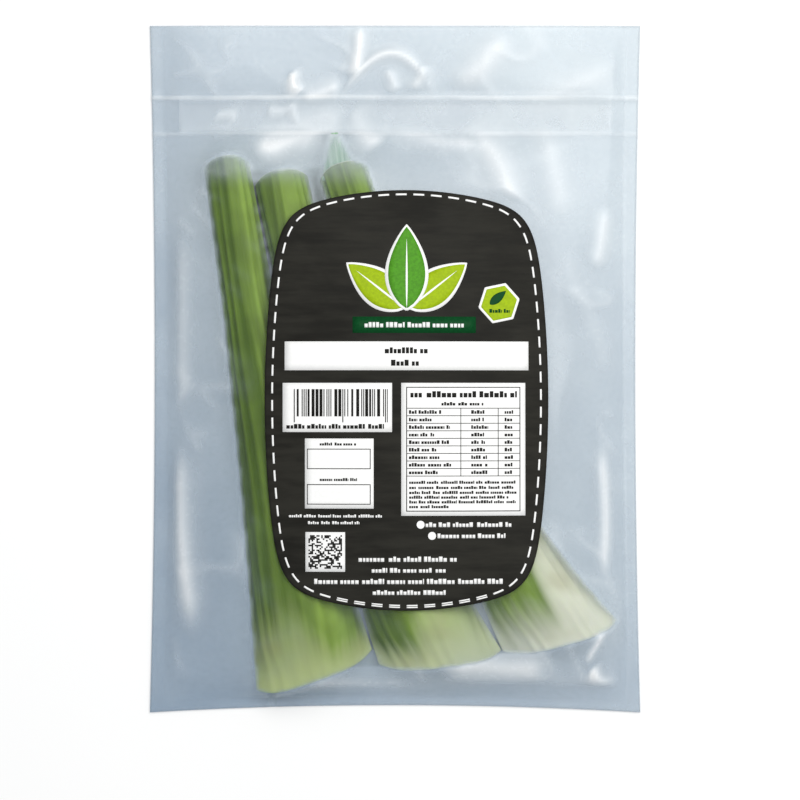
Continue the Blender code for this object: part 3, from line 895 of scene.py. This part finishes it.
class FrontFilm:
    """The front film, from a grid over the stalks to the draped, slack and folded sheet."""

    def __init__(self, film, label):
        self.film, self.label = film, label
        u, v = np.meshgrid(np.linspace(-1, 1, FILM_COLUMNS + 1), np.linspace(-1, 1, FILM_ROWS + 1))
        x, y = self.x, self.y = outline(u, v)
        surface = Surface(*[bpy.data.objects[stalk.piece] for stalk in STALKS])
        below = [surface.height(a, b) for a, b in zip(x.ravel(), y.ravel())]
        self.stalks = np.array(below).reshape(x.shape)
        self.from_side = POUCH_HIGH.x - SIDE_DRAW * (1 - v * v) - np.abs(x)
        seal_top = POUCH_LOW.y + film.bottom_seal + BOTTOM_DRAW * (1 - u * u)
        self.weld = (self.from_side < film.side_seal) | (y < seal_top)
        self.lip = (v > 0.999) & (np.abs(u) < 0.97)
        self.zip = (y > ZIP_LOW.y - ZIP_MARGIN) & (y < ZIP_HIGH.y + ZIP_MARGIN)
        self.zip &= np.abs(x) < ZIP_HIGH.x + ZIP_MARGIN
        self.held = self.weld | self.zip | self.lip
        self.least = self.lowest(u)

    def lowest(self, u):
        """How low each point may lie: over the stalks, round the zip, at the mouth and on the welds."""
        stalks = highest_near(self.stalks, 1)
        least = np.where(stalks > 0, stalks + FILM_CLEARANCE, FOOT)
        least = np.where(self.zip, ZIP_TOP + 0.0003, least)
        least = np.where(self.lip, FOOT + LIP_GAPE * (1 - u**4), least)
        return np.where(self.weld, FOOT, least)

    def drape(self):
        """Stretches the film over the stalks, and under the label, which is stiffer and bridges dips."""
        heights = settled(self.least, self.least, self.held, self.film.puff)
        cell = (POUCH_HIGH.x - POUCH_LOW.x) / FILM_COLUMNS
        stiff = blurred(bridged(heights, round(self.label.stiffness / cell)), 60)
        stiff = np.maximum(stiff, blurred(heights, 2))
        under = in_label(self.x, self.y, self.label, 0.001)
        self.least = np.where(under, np.maximum(stiff, self.least), self.least)
        heights = np.maximum(heights, self.least)
        return settled(heights, self.least, self.held | under, self.film.puff)

    def slacken(self, heights):
        """Adds wide puffs, fine crumples and the folds. Gives the heights and the painted highlight on the
        folds and crumples.
        """
        x, y, slack = self.x, self.y, self.film.slack
        room = smoothstep((self.from_side - self.film.side_seal) / 0.006)
        room = room * smoothstep((y - POUCH_LOW.y - 0.009) / 0.006)
        room = room * (1 - blurred(in_label(x, y, self.label, 0.004).astype(float), 6))
        off_zip = 1 - 0.85 * np.exp(-(((y - (ZIP_LOW.y + ZIP_HIGH.y) / 2) / 0.009) ** 4))
        folds, painted_fold_highlight = fold_heights(x, y)
        wide = crumple(x + 0.4 * y, y - 0.3 * x, 0.060, 4.7)
        patches = smoothstep((crumple(x, y, 0.050, 1.9) - 0.55) / 0.3)
        fine = crumple(x + 0.5 * y, y, 0.016, 9.1) ** 3 * patches
        heights = heights + room * off_zip * (slack * wide + 0.20 * slack * fine + folds)
        heights = np.maximum(heights, self.least)
        for line, rise, _ in ZIP_RIBS:
            heights = heights + rise * np.exp(-(((y - line) / 0.0013) ** 2)) * (1 - self.lip)
        return heights, np.clip(painted_fold_highlight + 0.22 * fine, 0, 1) * room * (0.3 + 0.7 * off_zip)

    def layers(self, heights, painted_highlights):
        """How milky, welded and steep the film is at each point, and its painted highlight."""
        closed = bridged(self.stalks, 5)
        over = smoothstep((blurred((closed > ON_STALK).astype(float), 8) - 0.33) / 0.5)
        over *= 1 - TOP_FOG * smoothstep((self.y - (ZIP_LOW.y - FOG_START)) / FOG_FADE)
        stand_off = smoothstep((blurred(heights - closed, 4) - 0.0012) / 0.0050)
        haze = 1 - over * (1 - 0.14 * stand_off)
        edge = blurred((self.stalks > ON_STALK).astype(float), 5)
        return {
            "haze": haze,
            "painted_fold_highlight": painted_highlights * (0.22 + 0.78 * haze),
            "weld": self.weld.astype(float),
            "curtain": np.exp(-(((edge - 0.5) / 0.30) ** 2)),
        }

    def mesh(self):
        """The finished sheet."""
        heights, painted_highlights = self.slacken(self.drape())
        return sheet_mesh(np.stack([self.x, self.y, heights], 2), self.layers(heights, painted_highlights))


def build_polythene(graph, given):
    """Polythene film: cloudy patches, fine stretch marks and a soft bump."""
    place = graph.place()
    clouds = graph.noise(place, 26.0, 4.0, 0.55)
    marks = graph.noise(place, 420.0, 3.0, 0.55)
    ripples = graph.noise(place, 95.0, 3.0, 0.5)
    bumps = graph.plus(graph.times(ripples, 0.8), marks, 0.2)
    return {"Clouds": graph.span(clouds, 0.30, 0.72, -1.0, 1.0), "Bumps": bumps, "Marks": marks}


def polythene(graph):
    """The patterns of polythene, in this material."""
    outputs = {"Clouds": NUMBER, "Bumps": NUMBER, "Marks": NUMBER}
    tree = node_group("polythene", {}, outputs, build_polythene)
    return graph.add("ShaderNodeGroup", node_tree=tree).outputs


def feed_polythene(graph, shader, grain, tint_and_painted_light, hide, rough, bump):
    """Feeds a film's shader. rough is the range of its roughness, bump its strength and height."""
    graph.feed_all(shader, {
        "Base Color": tint_and_painted_light,
        "Alpha": hide,
        "Roughness": graph.span(grain["Marks"], 0.3, 0.7, *rough),
        "Normal": graph.bump(grain["Bumps"], *bump),
    })


def film_colour_and_painted_light(graph, clouds, film, brightness, place):
    """The film's colour, with painted shade and light: bluer and darker towards the bottom left, brighter to
    the top right.
    """
    parts = graph.add("ShaderNodeSeparateXYZ", {"Vector": place}).outputs
    # Painted shade and light: a slope across the pouch, lighter to the top right, where the light falls.
    painted_light_slope = graph.plus(graph.times(parts["X"], 2.0), parts["Y"], 2.0)
    light = graph.plus(graph.plus(painted_light_slope, clouds, 0.07), 0.5, clamp=True)
    return graph.mix(light, rgba(film.shade, brightness), rgba(film.tint_and_painted_light, brightness))


def painted_zip_highlights(graph, place):
    """The painted highlights along the two lines that the zip's ribs press right across the pouch, from 0 to
    1.
    """
    height = graph.add("ShaderNodeSeparateXYZ", {"Vector": place}).outputs["Y"]
    height = graph.plus(height, graph.less(graph.noise(place, 9.0, 2.0, 0.5), 0.5), 0.003)
    lines = 0.0
    # whiteness: the strength of the painted highlight along each line.
    for line, _, whiteness in ZIP_RIBS:
        away = graph.calc("ABSOLUTE", graph.less(height, line))
        lines = graph.plus(lines, graph.span(away, 0.0002, 0.0015, whiteness, 0.0))
    return graph.times(lines, graph.span(graph.noise(place, 30.0, 2.0, 0.5), 0.3, 0.6, 0.35, 1.0))


def front_film_material(film):
    """Clear where it lies on the stalks, milky where it stands off, whiter on welds, with painted highlights
    on folds and along the zip's lines.
    """
    made, graph, shader = new_material("front_film")
    grain, place = polythene(graph), graph.place()
    haze = graph.attribute("haze")
    # white: the painted highlights of the folds and the zip's lines, shown as a whiter, more milky film.
    white = graph.plus(graph.attribute("painted_fold_highlight"), painted_zip_highlights(graph, place), 0.55, clamp=True)
    hide = graph.times(grain["Clouds"], graph.times(haze, 0.03))
    hide = graph.plus(hide, graph.span(haze, 0.0, 1.0, film.clear, film.milky))
    hide = graph.plus(hide, white, 0.50)
    hide = graph.plus(hide, graph.attribute("curtain"), 0.15)
    hide = graph.plus(hide, graph.attribute("weld"), 0.05, clamp=True)
    tint_and_painted_light = film_colour_and_painted_light(graph, grain["Clouds"], film, 1.0, place)
    tint_and_painted_light = graph.mix(graph.times(white, 0.9), tint_and_painted_light, (0.97, 0.99, 1.0, 1.0))
    feed_polythene(graph, shader, grain, tint_and_painted_light, hide, (0.16, 0.30), (0.10, 0.0006))
    graph.feed_all(shader, {"IOR": 1.51, "Specular IOR Level": 0.7})
    return made


def back_film_material(film):
    """The milky film behind the stalks."""
    made, graph, shader = new_material("back_film")
    grain = polythene(graph)
    tint_and_painted_light = film_colour_and_painted_light(graph, grain["Clouds"], film, 0.97, graph.place())
    hide = graph.plus(film.back, grain["Clouds"], 0.03)
    feed_polythene(graph, shader, grain, tint_and_painted_light, hide, (0.22, 0.36), (0.10, 0.0006))
    graph.feed(shader.inputs["IOR"], 1.51)
    return made


class CELERY_OT_films(bpy.types.Operator):
    """Add the pouch's front and back films, draped over the stalks and welded at the edges"""

    bl_idname = "celery.films"
    bl_label = "Add Films"

    def execute(self, context):
        film, label = context.scene.celery_film, context.scene.celery_label
        bm = FrontFilm(film, label).mesh()
        front = finish_piece(bm, "pouch_front", ["film_front"], front_film_material(film))
        thicken(front, film.thickness)
        x, y = outline(*np.meshgrid(np.linspace(-1, 1, 101), np.linspace(-1, 1, 141)))
        ripple = BACK_RIPPLE * (crumple(x, y, 0.020, 2.3) - 0.5)
        bm = sheet_mesh(np.stack([x, y, BACK_FOOT + np.maximum(ripple, 0)], 2), {})
        back = finish_piece(bm, "pouch_back", ["film_back"], back_film_material(film))
        thicken(back, film.thickness)
        return {"FINISHED"}


# ---------------------------------------------------------------- zip


def zip_material(film):
    """The zip's thicker polythene strips."""
    made, graph, shader = new_material("zip_strip")
    grain = polythene(graph)
    tint_and_painted_light = film_colour_and_painted_light(graph, grain["Clouds"], film, 1.05, graph.place())
    tint_and_painted_light = graph.mix(0.75, tint_and_painted_light, (0.94, 0.97, 1.0, 1.0))
    hide = graph.plus(0.20, grain["Clouds"], 0.03)
    feed_polythene(graph, shader, grain, tint_and_painted_light, hide, (0.15, 0.28), (0.08, 0.0004))
    return made


class CELERY_OT_zip(bpy.types.Operator):
    """Finish the two strips of the press-to-close zip"""

    bl_idname = "celery.zip"
    bl_label = "Finish Zip"

    def execute(self, context):
        finish = zip_material(context.scene.celery_film)
        for node in ("zip_strip_front", "zip_strip_back"):
            strip = frame["nodes"][node]
            strip.data.materials.clear()
            strip.data.materials.append(finish)
        return {"FINISHED"}


# ---------------------------------------------------------------- label

LABEL_COLUMNS, LABEL_ROWS = 110, 164
LABEL_GAP, LABEL_LIFT = 0.00005, 0.00008  # it is lifted off the film before it is smoothed, and after
LABEL_SMOOTHINGS = 4
EDGE_ROUNDS = 20  # halvings that find a point of the label's edge
INK = 0.00003  # thickness of a layer of ink
INK_GAP, INK_STEP = 0.00002, 0.00005  # from the label to the ink, and from one layer to the next


def label_spot(a, b, settings, inset=(0.0, 0.0)):
    """Maps (a, b), each from -1 to 1, evenly onto the label: rings of a square to its outline."""
    middle, half = LABEL_MIDDLE, LABEL_HALF
    reach = max(abs(a), abs(b))
    if reach == 0:
        return middle.x, middle.y
    way_x, way_y = a / reach * half.x, b / reach * half.y
    inside, outside = 0.5, 1.0
    for _ in range(EDGE_ROUNDS):
        between = (inside + outside) / 2
        if in_label(middle.x + way_x * between, middle.y + way_y * between, settings):
            inside = between
        else:
            outside = between
    edge_x = way_x * inside * (1 - inset[0] / half.x)
    edge_y = way_y * inside * (1 - inset[1] / half.y)
    return middle.x + edge_x * reach, middle.y + edge_y * reach


def label_material(settings):
    """Charcoal label stock with a faint brushed grain."""
    made, graph, shader = new_material("label_stock")
    place = graph.place()
    brushed = graph.noise(graph.stretched(place, (0.35, 2.2, 1.0)), 120.0, 5.0, 0.6)
    tone = graph.plus(graph.times(brushed, 0.6), graph.noise(place, 34.0, 3.0, 0.5), 0.4)
    graph.feed_all(shader, {
        "Base Color": graph.mix(
            graph.span(tone, 0.35, 0.65), rgba(settings.paper, 0.70), rgba(settings.paper, 1.45)),
        "Roughness": graph.span(brushed, 0.3, 0.7, 0.50, 0.62),
        "Normal": graph.bump(graph.noise(place, 1500.0, 2.0, 0.5), 0.15, 0.0001),
        "Specular IOR Level": 0.08,
    })
    return made


class CELERY_OT_label(bpy.types.Operator):
    """Add the blank label, stuck on the front film"""

    bl_idname = "celery.label"
    bl_label = "Add Label"

    def execute(self, context):
        settings = context.scene.celery_label
        surface = Surface(bpy.data.objects["pouch_front"])

        def spot(i, j):
            x, y = label_spot(2 * i / LABEL_COLUMNS - 1, 2 * j / LABEL_ROWS - 1, settings)
            return x, y, surface.height(x, y) + LABEL_GAP

        bm = bmesh.new()
        verts = grid(bm, LABEL_COLUMNS, LABEL_ROWS, spot)
        for _ in range(LABEL_SMOOTHINGS):
            bmesh.ops.smooth_vert(bm, verts=verts, factor=0.5, use_axis_z=True)
        for vert in verts:
            vert.co.z += LABEL_LIFT
        piece = finish_piece(bm, "label_sheet", ["label"], label_material(settings))
        thicken(piece, settings.thickness)
        return {"FINISHED"}


# ---------------------------------------------------------------- print


def ink_material(name, ink, roughness, mottle):
    """Printed ink, slightly uneven."""
    made, graph, shader = new_material(name)
    blotch = graph.noise(graph.place(), 900.0, 3.0, 0.6)
    uneven = graph.span(blotch, 0.3, 0.7)
    graph.feed_all(shader, {
        "Base Color": graph.mix(uneven, rgba(ink, 1 - mottle), rgba(ink, 1 + mottle)),
        "Roughness": graph.span(blotch, 0.3, 0.7, roughness - 0.05, roughness + 0.05),
        "Specular IOR Level": 0.08,
    })
    return made


class Print:
    """Collects patches of ink, in millimetres from the label's middle, one mesh for each ink."""

    def __init__(self):
        self.surface = Surface(bpy.data.objects["label_sheet"])
        self.meshes = {}

    def spot(self, x, y, layer):
        """Where a point of this layer of ink lies in the pouch."""
        x, y = LABEL_MIDDLE.x + x * MM, LABEL_MIDDLE.y + y * MM
        return x, y, self.surface.height(x, y) + INK_GAP + layer * INK_STEP

    def patch(self, ink, layer, columns, rows, shape):
        """A patch whose point at (a, b), each from 0 to 1, is at shape(a, b)."""
        if ink not in self.meshes:
            self.meshes[ink] = bmesh.new()

        def spot(i, j):
            return self.spot(*shape(i / columns, j / rows), layer)

        grid(self.meshes[ink], columns, rows, spot)

    def box(self, ink, left, bottom, right, top, layer=0, cell=3.0):
        """An upright rectangle."""
        columns = max(1, round((right - left) / cell))
        rows = max(1, round((top - bottom) / cell))
        self.patch(ink, layer, columns, rows,
                   lambda a, b: (left + (right - left) * a, bottom + (top - bottom) * b))

    def frame(self, ink, left, bottom, right, top, line, layer=1):
        """The outline of a rectangle."""
        self.box(ink, left, top - line, right, top, layer)
        self.box(ink, left, bottom, right, bottom + line, layer)
        self.box(ink, left, bottom + line, left + line, top - line, layer)
        self.box(ink, right - line, bottom + line, right, top - line, layer)

    def leaf(self, ink, x, y, length, width, degrees, layer=0):
        """A pointed leaf that grows from (x, y)."""
        turn_by = math.radians(degrees)
        ahead = Vector((math.cos(turn_by), math.sin(turn_by)))
        side = Vector((-ahead.y, ahead.x))

        def shape(a, b):
            a = 0.004 + 0.992 * a
            half = width / 2 * math.sin(math.pi * a**0.8) ** 0.85
            spot = Vector((x, y)) + ahead * length * a + side * half * (2 * b - 1)
            return spot.x, spot.y

        self.patch(ink, layer, 20, 6, shape)

    def disc(self, ink, x, y, radius, layer=0, corners=0, turned=0.0):
        """A round or many-sided spot."""

        def shape(a, b):
            a, b = 2 * a - 1, 2 * b - 1
            reach = max(abs(a), abs(b))
            angle = math.atan2(b, a)
            ring = reach * radius
            if corners:
                step = 2 * math.pi / corners
                ring *= math.cos(step / 2) / math.cos((angle - turned) % step - step / 2)
            return x + ring * math.cos(angle), y + ring * math.sin(angle)

        self.patch(ink, layer, 24, 24, shape)

    def words(self, ink, left, right, y, height, draw, layer=0):
        """A line of plain blocks in place of small type."""
        x = left
        while x < right - height * 0.4:
            word = min(right, x + height * draw.uniform(2.0, 5.5))
            while x < word - height * 0.2:
                wide = min(height * draw.uniform(0.45, 0.75), word - x)
                tall = height * draw.choice((0.72, 0.72, 1.0))
                self.box(ink, x, y - height / 2, x + wide, y - height / 2 + tall, layer)
                x += wide + height * 0.16
            x = word + height * 0.55


DASH_LENGTH, DASH_PITCH = 4.4, 7.1
DASH_INSET = (0.0030, 0.0017)  # metres in from the label's sides and from its ends
ONE_DASH = ((0.0, 0.74),)  # how far in from the dashes' line, and how wide
TWIN_DASHES = ((-0.38, 0.52), (0.38, 0.52))
TWIN_ZONE = 5  # the dashes are double this near to the label's lower end
BORDER_STEPS = 4000
LONG_CELL = 6.0  # between the points along a long bar or rule
RULE = 0.14  # half a table rule's width


def border_line(settings):
    """Points on the closed line of the dashes, in millimetres, and how far round each one is."""
    line = []
    for k in range(BORDER_STEPS):
        angle = 2 * math.pi * k / BORDER_STEPS
        a, b = math.cos(angle), math.sin(angle)
        reach = max(abs(a), abs(b))
        x, y = label_spot(a / reach, b / reach, settings, DASH_INSET)
        line.append(((x - LABEL_MIDDLE.x) / MM, (y - LABEL_MIDDLE.y) / MM))
    line.append(line[0])
    run = np.concatenate([[0], np.cumsum([math.dist(p, q) for p, q in zip(line, line[1:])])])
    return np.array(line), run


def print_border(made, settings):
    """White dashes all round, a little inside the label's edge, and double ones at its lower end."""
    line, run = border_line(settings)
    count = round(run[-1] / DASH_PITCH)

    def at(place):
        place %= run[-1]
        return np.array([np.interp(place, run, line[:, axis]) for axis in (0, 1)])

    def dash(start, shift, wide):
        def shape(a, b):
            place = start + DASH_LENGTH * a
            ahead = at(place + 0.2) - at(place - 0.2)
            ahead /= np.hypot(*ahead)
            spot = at(place) + np.array([-ahead[1], ahead[0]]) * (shift + wide * (b - 0.5))
            return spot[0], spot[1]

        made.patch("white", 0, 5, 1, shape)

    for k in range(count):
        start = k * (run[-1] / count)
        low = at(start)[1] < TWIN_ZONE - LABEL_HALF.y / MM
        for shift, wide in TWIN_DASHES if low else ONE_DASH:
            dash(start, shift, wide)


def print_emblem(made, draw):
    """Three leaves with a white edge, the band beneath them and a six-sided badge."""
    leaves = ((-1.5, 37.5, 28.0, 13.0, 142, "lime", 0), (1.5, 37.5, 28.0, 13.0, 38, "lime", 0),
              (0.0, 37.0, 33.0, 15.0, 90, "leaf", 3))
    for x, y, length, width, degrees, ink, layer in leaves:
        turn_by = math.radians(degrees)
        back = (x - 1.1 * math.cos(turn_by), y - 1.1 * math.sin(turn_by))
        made.leaf("white", *back, length + 2.2, width + 2.6, degrees, layer)
        made.leaf(ink, x, y, length, width, degrees, layer + 1)
        made.leaf("white", x, y, length * 0.86, 0.8, degrees, layer + 2)
    made.box("ribbon", -21.8, 27.0, 27.9, 33.6, 0)
    made.words("white", -17.0, 23.0, 30.3, 2.1, draw, 1)
    for layer, (ink, radius) in enumerate((("white", 8.6), ("lime", 7.5))):
        made.disc(ink, 37.3, 39.1, radius, layer, 6, math.radians(12))
    made.leaf("ribbon", 33.6, 38.6, 8.5, 3.6, 40, 2)
    made.words("ribbon", 33.4, 41.6, 36.0, 1.5, draw, 2)


def print_name_bar(made, draw):
    """The wide white bar with two lines on it."""
    made.box("white", -49.2, 12.0, 49.2, 23.6)
    for left, right, y in ((-8.8, 8.4, 20.0), (-6.3, 5.1, 15.0)):
        made.words("black", left, right, y, 2.4, draw, 1)


def print_bars(made, draw):
    """A panel of plain bars of mixed widths. Those at its ends and its middle are longer."""
    made.box("white", -50.0, -12.9, -5.9, 6.9)
    x, end, module, widths = -45.5, -7.6, 0.40, (1, 1, 2, 3)
    while x < end:
        wide = module * draw.choice(widths)
        long = x < -44.5 or x > -9.0 or abs(x + 26.5) < 0.8
        made.box("black", x, -9.0 if long else -6.6, min(end, x + wide), 4.4, 1, LONG_CELL)
        x += wide + module * draw.choice(widths)
    made.words("black", -48.5, -8.5, -10.6, 1.9, draw, 1)


def print_dates(made, draw):
    """A white panel with two empty boxes, each with a line above it."""
    made.box("white", -41.0, -43.7, -13.3, -15.5)
    for top in (-19.6, -33.9):
        made.frame("black", -40.2, top - 8.2, -14.5, top, 0.32)
        made.words("black", -35.0, -20.0, top + 1.9, 1.2, draw, 1)


def print_table(made, draw):
    """A ruled table of plain blocks, with notes beneath it."""
    made.box("white", -2.2, -46.6, 47.9, 6.9)
    made.frame("black", -0.2, -44.9, 45.9, 5.3, 0.35)
    made.words("black", 1.5, 44.5, 2.3, 2.5, draw, 1)
    made.words("black", 14.0, 31.0, -1.5, 1.4, draw, 1)
    first, last, rows = -3.3, -30.6, 9
    step = (last - first) / rows
    for row in range(rows + 1):
        y = first + step * row
        made.box("black", -0.2, y - RULE, 45.9, y + RULE, 1, LONG_CELL)
        if row < rows:
            middle = y + step / 2
            made.words("black", 0.9, draw.uniform(10, 19), middle, 1.45, draw, 1)
            made.words("black", 26.0, draw.uniform(31, 34), middle, 1.45, draw, 1)
            made.words("black", 39.5, 43.0, middle, 1.45, draw, 1)
    for x in (21.8, 36.9):
        made.box("black", x - RULE, last, x + RULE, first, 1, LONG_CELL)
    for y, end in ((-33.1, 44.0), (-35.2, 43.0), (-37.2, 44.5), (-39.1, 41.0), (-41.0, 44.0), (-42.9, 18.0)):
        made.words("black", 1.0, end, y, 1.25, draw, 1)


PATTERN_CELLS, PATTERN_LEFT, PATTERN_BOTTOM, PATTERN_SIDE = 21, -39.6, -68.0, 13.6
PATTERN_MARGIN = 1.2


def print_pattern(made, draw):
    """A square of random black cells on its own white ground."""
    step = PATTERN_SIDE / PATTERN_CELLS
    made.box("white", PATTERN_LEFT - PATTERN_MARGIN, PATTERN_BOTTOM - PATTERN_MARGIN,
             PATTERN_LEFT + PATTERN_SIDE + PATTERN_MARGIN, PATTERN_BOTTOM + PATTERN_SIDE + PATTERN_MARGIN)
    for column in range(PATTERN_CELLS):
        for row in range(PATTERN_CELLS):
            if draw.random() < 0.5:
                x, y = PATTERN_LEFT + column * step, PATTERN_BOTTOM + row * step
                made.box("black", x, y, x + step * 0.97, y + step * 0.97, 1)


def print_small_lines(made, draw):
    """The rest of the small lines, and two round spots."""
    lines = ((-47.5, -9.6, -46.7, 1.2), (-39.8, -19.0, -49.4, 1.2), (7.6, 42.2, -50.2, 1.9),
             (12.4, 39.8, -54.7, 1.9), (-19.4, 20.6, -64.1, 2.1), (-14.1, 15.7, -68.6, 1.9),
             (-37.3, 39.0, -73.1, 2.1), (-13.7, 15.7, -77.6, 1.9))
    for left, right, y, height in lines:
        made.words("white", left, right, y, height, draw)
    made.disc("white", 5.6, -50.2, 1.6)
    made.disc("white", 10.2, -54.7, 1.6)


class CELERY_OT_print(bpy.types.Operator):
    """Print the label with plain, generic marks"""

    bl_idname = "celery.label_print"
    bl_label = "Print Label"

    def execute(self, context):
        settings = context.scene.celery_label
        draw = random.Random(11)
        made = Print()
        print_border(made, settings)
        for part in (print_emblem, print_name_bar, print_bars, print_dates, print_table,
                     print_small_lines, print_pattern):
            part(made, draw)
        inks = {
            "white": ink_material("white_ink", (0.93, 0.93, 0.92), 0.5, 0.02),
            "black": ink_material("black_ink", (0.015, 0.0145, 0.013), 0.5, 0.25),
            "leaf": ink_material("leaf_ink", settings.leaf, 0.45, 0.14),
            "lime": ink_material("lime_ink", settings.lime, 0.45, 0.10),
            "ribbon": ink_material("ribbon_ink", settings.ribbon, 0.45, 0.14),
        }
        for ink, bm in made.meshes.items():
            bmesh.ops.remove_doubles(bm, verts=bm.verts, dist=0.000001)
            piece = finish_piece(bm, "print_" + ink, ["label"], inks[ink])
            thicken(piece, INK)
        return {"FINISHED"}


# ---------------------------------------------------------------- stage

FLOOR_HALF = 4.0
FLOOR_DROP = 0.0003


def add_light(name, place, target, width, power, tone):
    """A square lamp that faces the target."""
    light = bpy.data.lights.new(name, "AREA")
    light.size = width
    light.energy = power
    light.color = tone
    lamp = new_object(name, light)
    lamp.location = place
    lamp.rotation_euler = (Vector(target) - Vector(place)).to_track_quat("-Z", "Y").to_euler()


def add_floor():
    """The white table, just under the pouch."""
    made, graph, shader = new_material("studio_floor")
    mottle = graph.noise(graph.place(), 6.0, 2.0, 0.5)
    graph.feed_all(shader, {
        "Base Color": graph.mix(mottle, (0.93, 0.93, 0.93, 1), (0.96, 0.96, 0.96, 1)),
        "Roughness": 0.9, "Specular IOR Level": 0.1,
    })
    bm = bmesh.new()
    bmesh.ops.create_grid(bm, x_segments=8, y_segments=8, size=FLOOR_HALF)
    bmesh.ops.translate(bm, verts=bm.verts, vec=(0, 0, -FLOOR_DROP))
    floor = new_object("floor", new_mesh(bm, "floor", made, smooth=False))


def add_sky(scene, strength):
    """Even, slightly cool light from all round."""
    scene.world = bpy.data.worlds.new("sky")
    scene.world.use_nodes = True
    sky = scene.world.node_tree.nodes["Background"]
    sky.inputs["Color"].default_value = (0.97, 0.985, 1.0, 1)
    sky.inputs["Strength"].default_value = strength


def add_camera(scene, settings):
    """The camera straight above the pouch."""
    camera = bpy.data.cameras.new("camera")
    camera.lens = settings.lens
    camera.clip_start, camera.clip_end = 0.01, 20
    scene.camera = new_object("camera", camera)
    distance = settings.view_width * camera.lens / camera.sensor_width
    scene.camera.location = (settings.view_x, settings.view_y, distance)


class CELERY_OT_stage(bpy.types.Operator):
    """Add the floor, the lights and the camera"""

    bl_idname = "celery.stage"
    bl_label = "Add Stage"

    def execute(self, context):
        scene = context.scene
        settings = scene.celery_stage
        add_floor()
        add_light("key", (0.45, 0.50, 1.35), (0, 0, 0), 1.3, settings.key, (1.0, 0.99, 0.97))
        add_sky(scene, settings.sky)
        add_camera(scene, settings)
        scene.view_settings.view_transform = "Standard"
        scene.cycles.transparent_max_bounces = 24
        return {"FINISHED"}


# ---------------------------------------------------------------- panel


class CELERY_PT_pouch(bpy.types.Panel):
    """Lists the pieces and their settings"""

    bl_label = "Celery Pouch"
    bl_idname = "CELERY_PT_pouch"
    bl_space_type = "VIEW_3D"
    bl_region_type = "UI"
    bl_category = "Celery Pouch"

    def draw(self, context):
        scene = context.scene
        rows = (
            ("celery.stalks", scene.celery_stalks), ("celery.films", scene.celery_film),
            ("celery.zip", None), ("celery.label", scene.celery_label),
            ("celery.label_print", None), ("celery.stage", scene.celery_stage),
        )
        for operator, settings in rows:
            box = self.layout.box()
            box.operator(operator)
            if settings:
                for name in settings.__annotations__:
                    box.prop(settings, name)


SETTINGS = {
    "celery_stalks": CelerySettings,
    "celery_film": FilmSettings,
    "celery_label": LabelSettings,
    "celery_stage": StageSettings,
}
CLASSES = (
    *SETTINGS.values(), CELERY_OT_stalks, CELERY_OT_films, CELERY_OT_zip, CELERY_OT_label,
    CELERY_OT_print, CELERY_OT_stage, CELERY_PT_pouch,
)


def register():
    for cls in CLASSES:
        bpy.utils.register_class(cls)
    for name, cls in SETTINGS.items():
        setattr(bpy.types.Scene, name, PointerProperty(type=cls))


def unregister():
    for name in SETTINGS:
        delattr(bpy.types.Scene, name)
    for cls in reversed(CLASSES):
        bpy.utils.unregister_class(cls)


def main():
    register()
    bpy.ops.celery.stalks()
    bpy.ops.celery.films()
    bpy.ops.celery.zip()
    bpy.ops.celery.label()
    bpy.ops.celery.label_print()
    bpy.ops.celery.stage()
    bpy.context.view_layer.update()


if __name__ == "__main__":
    main()
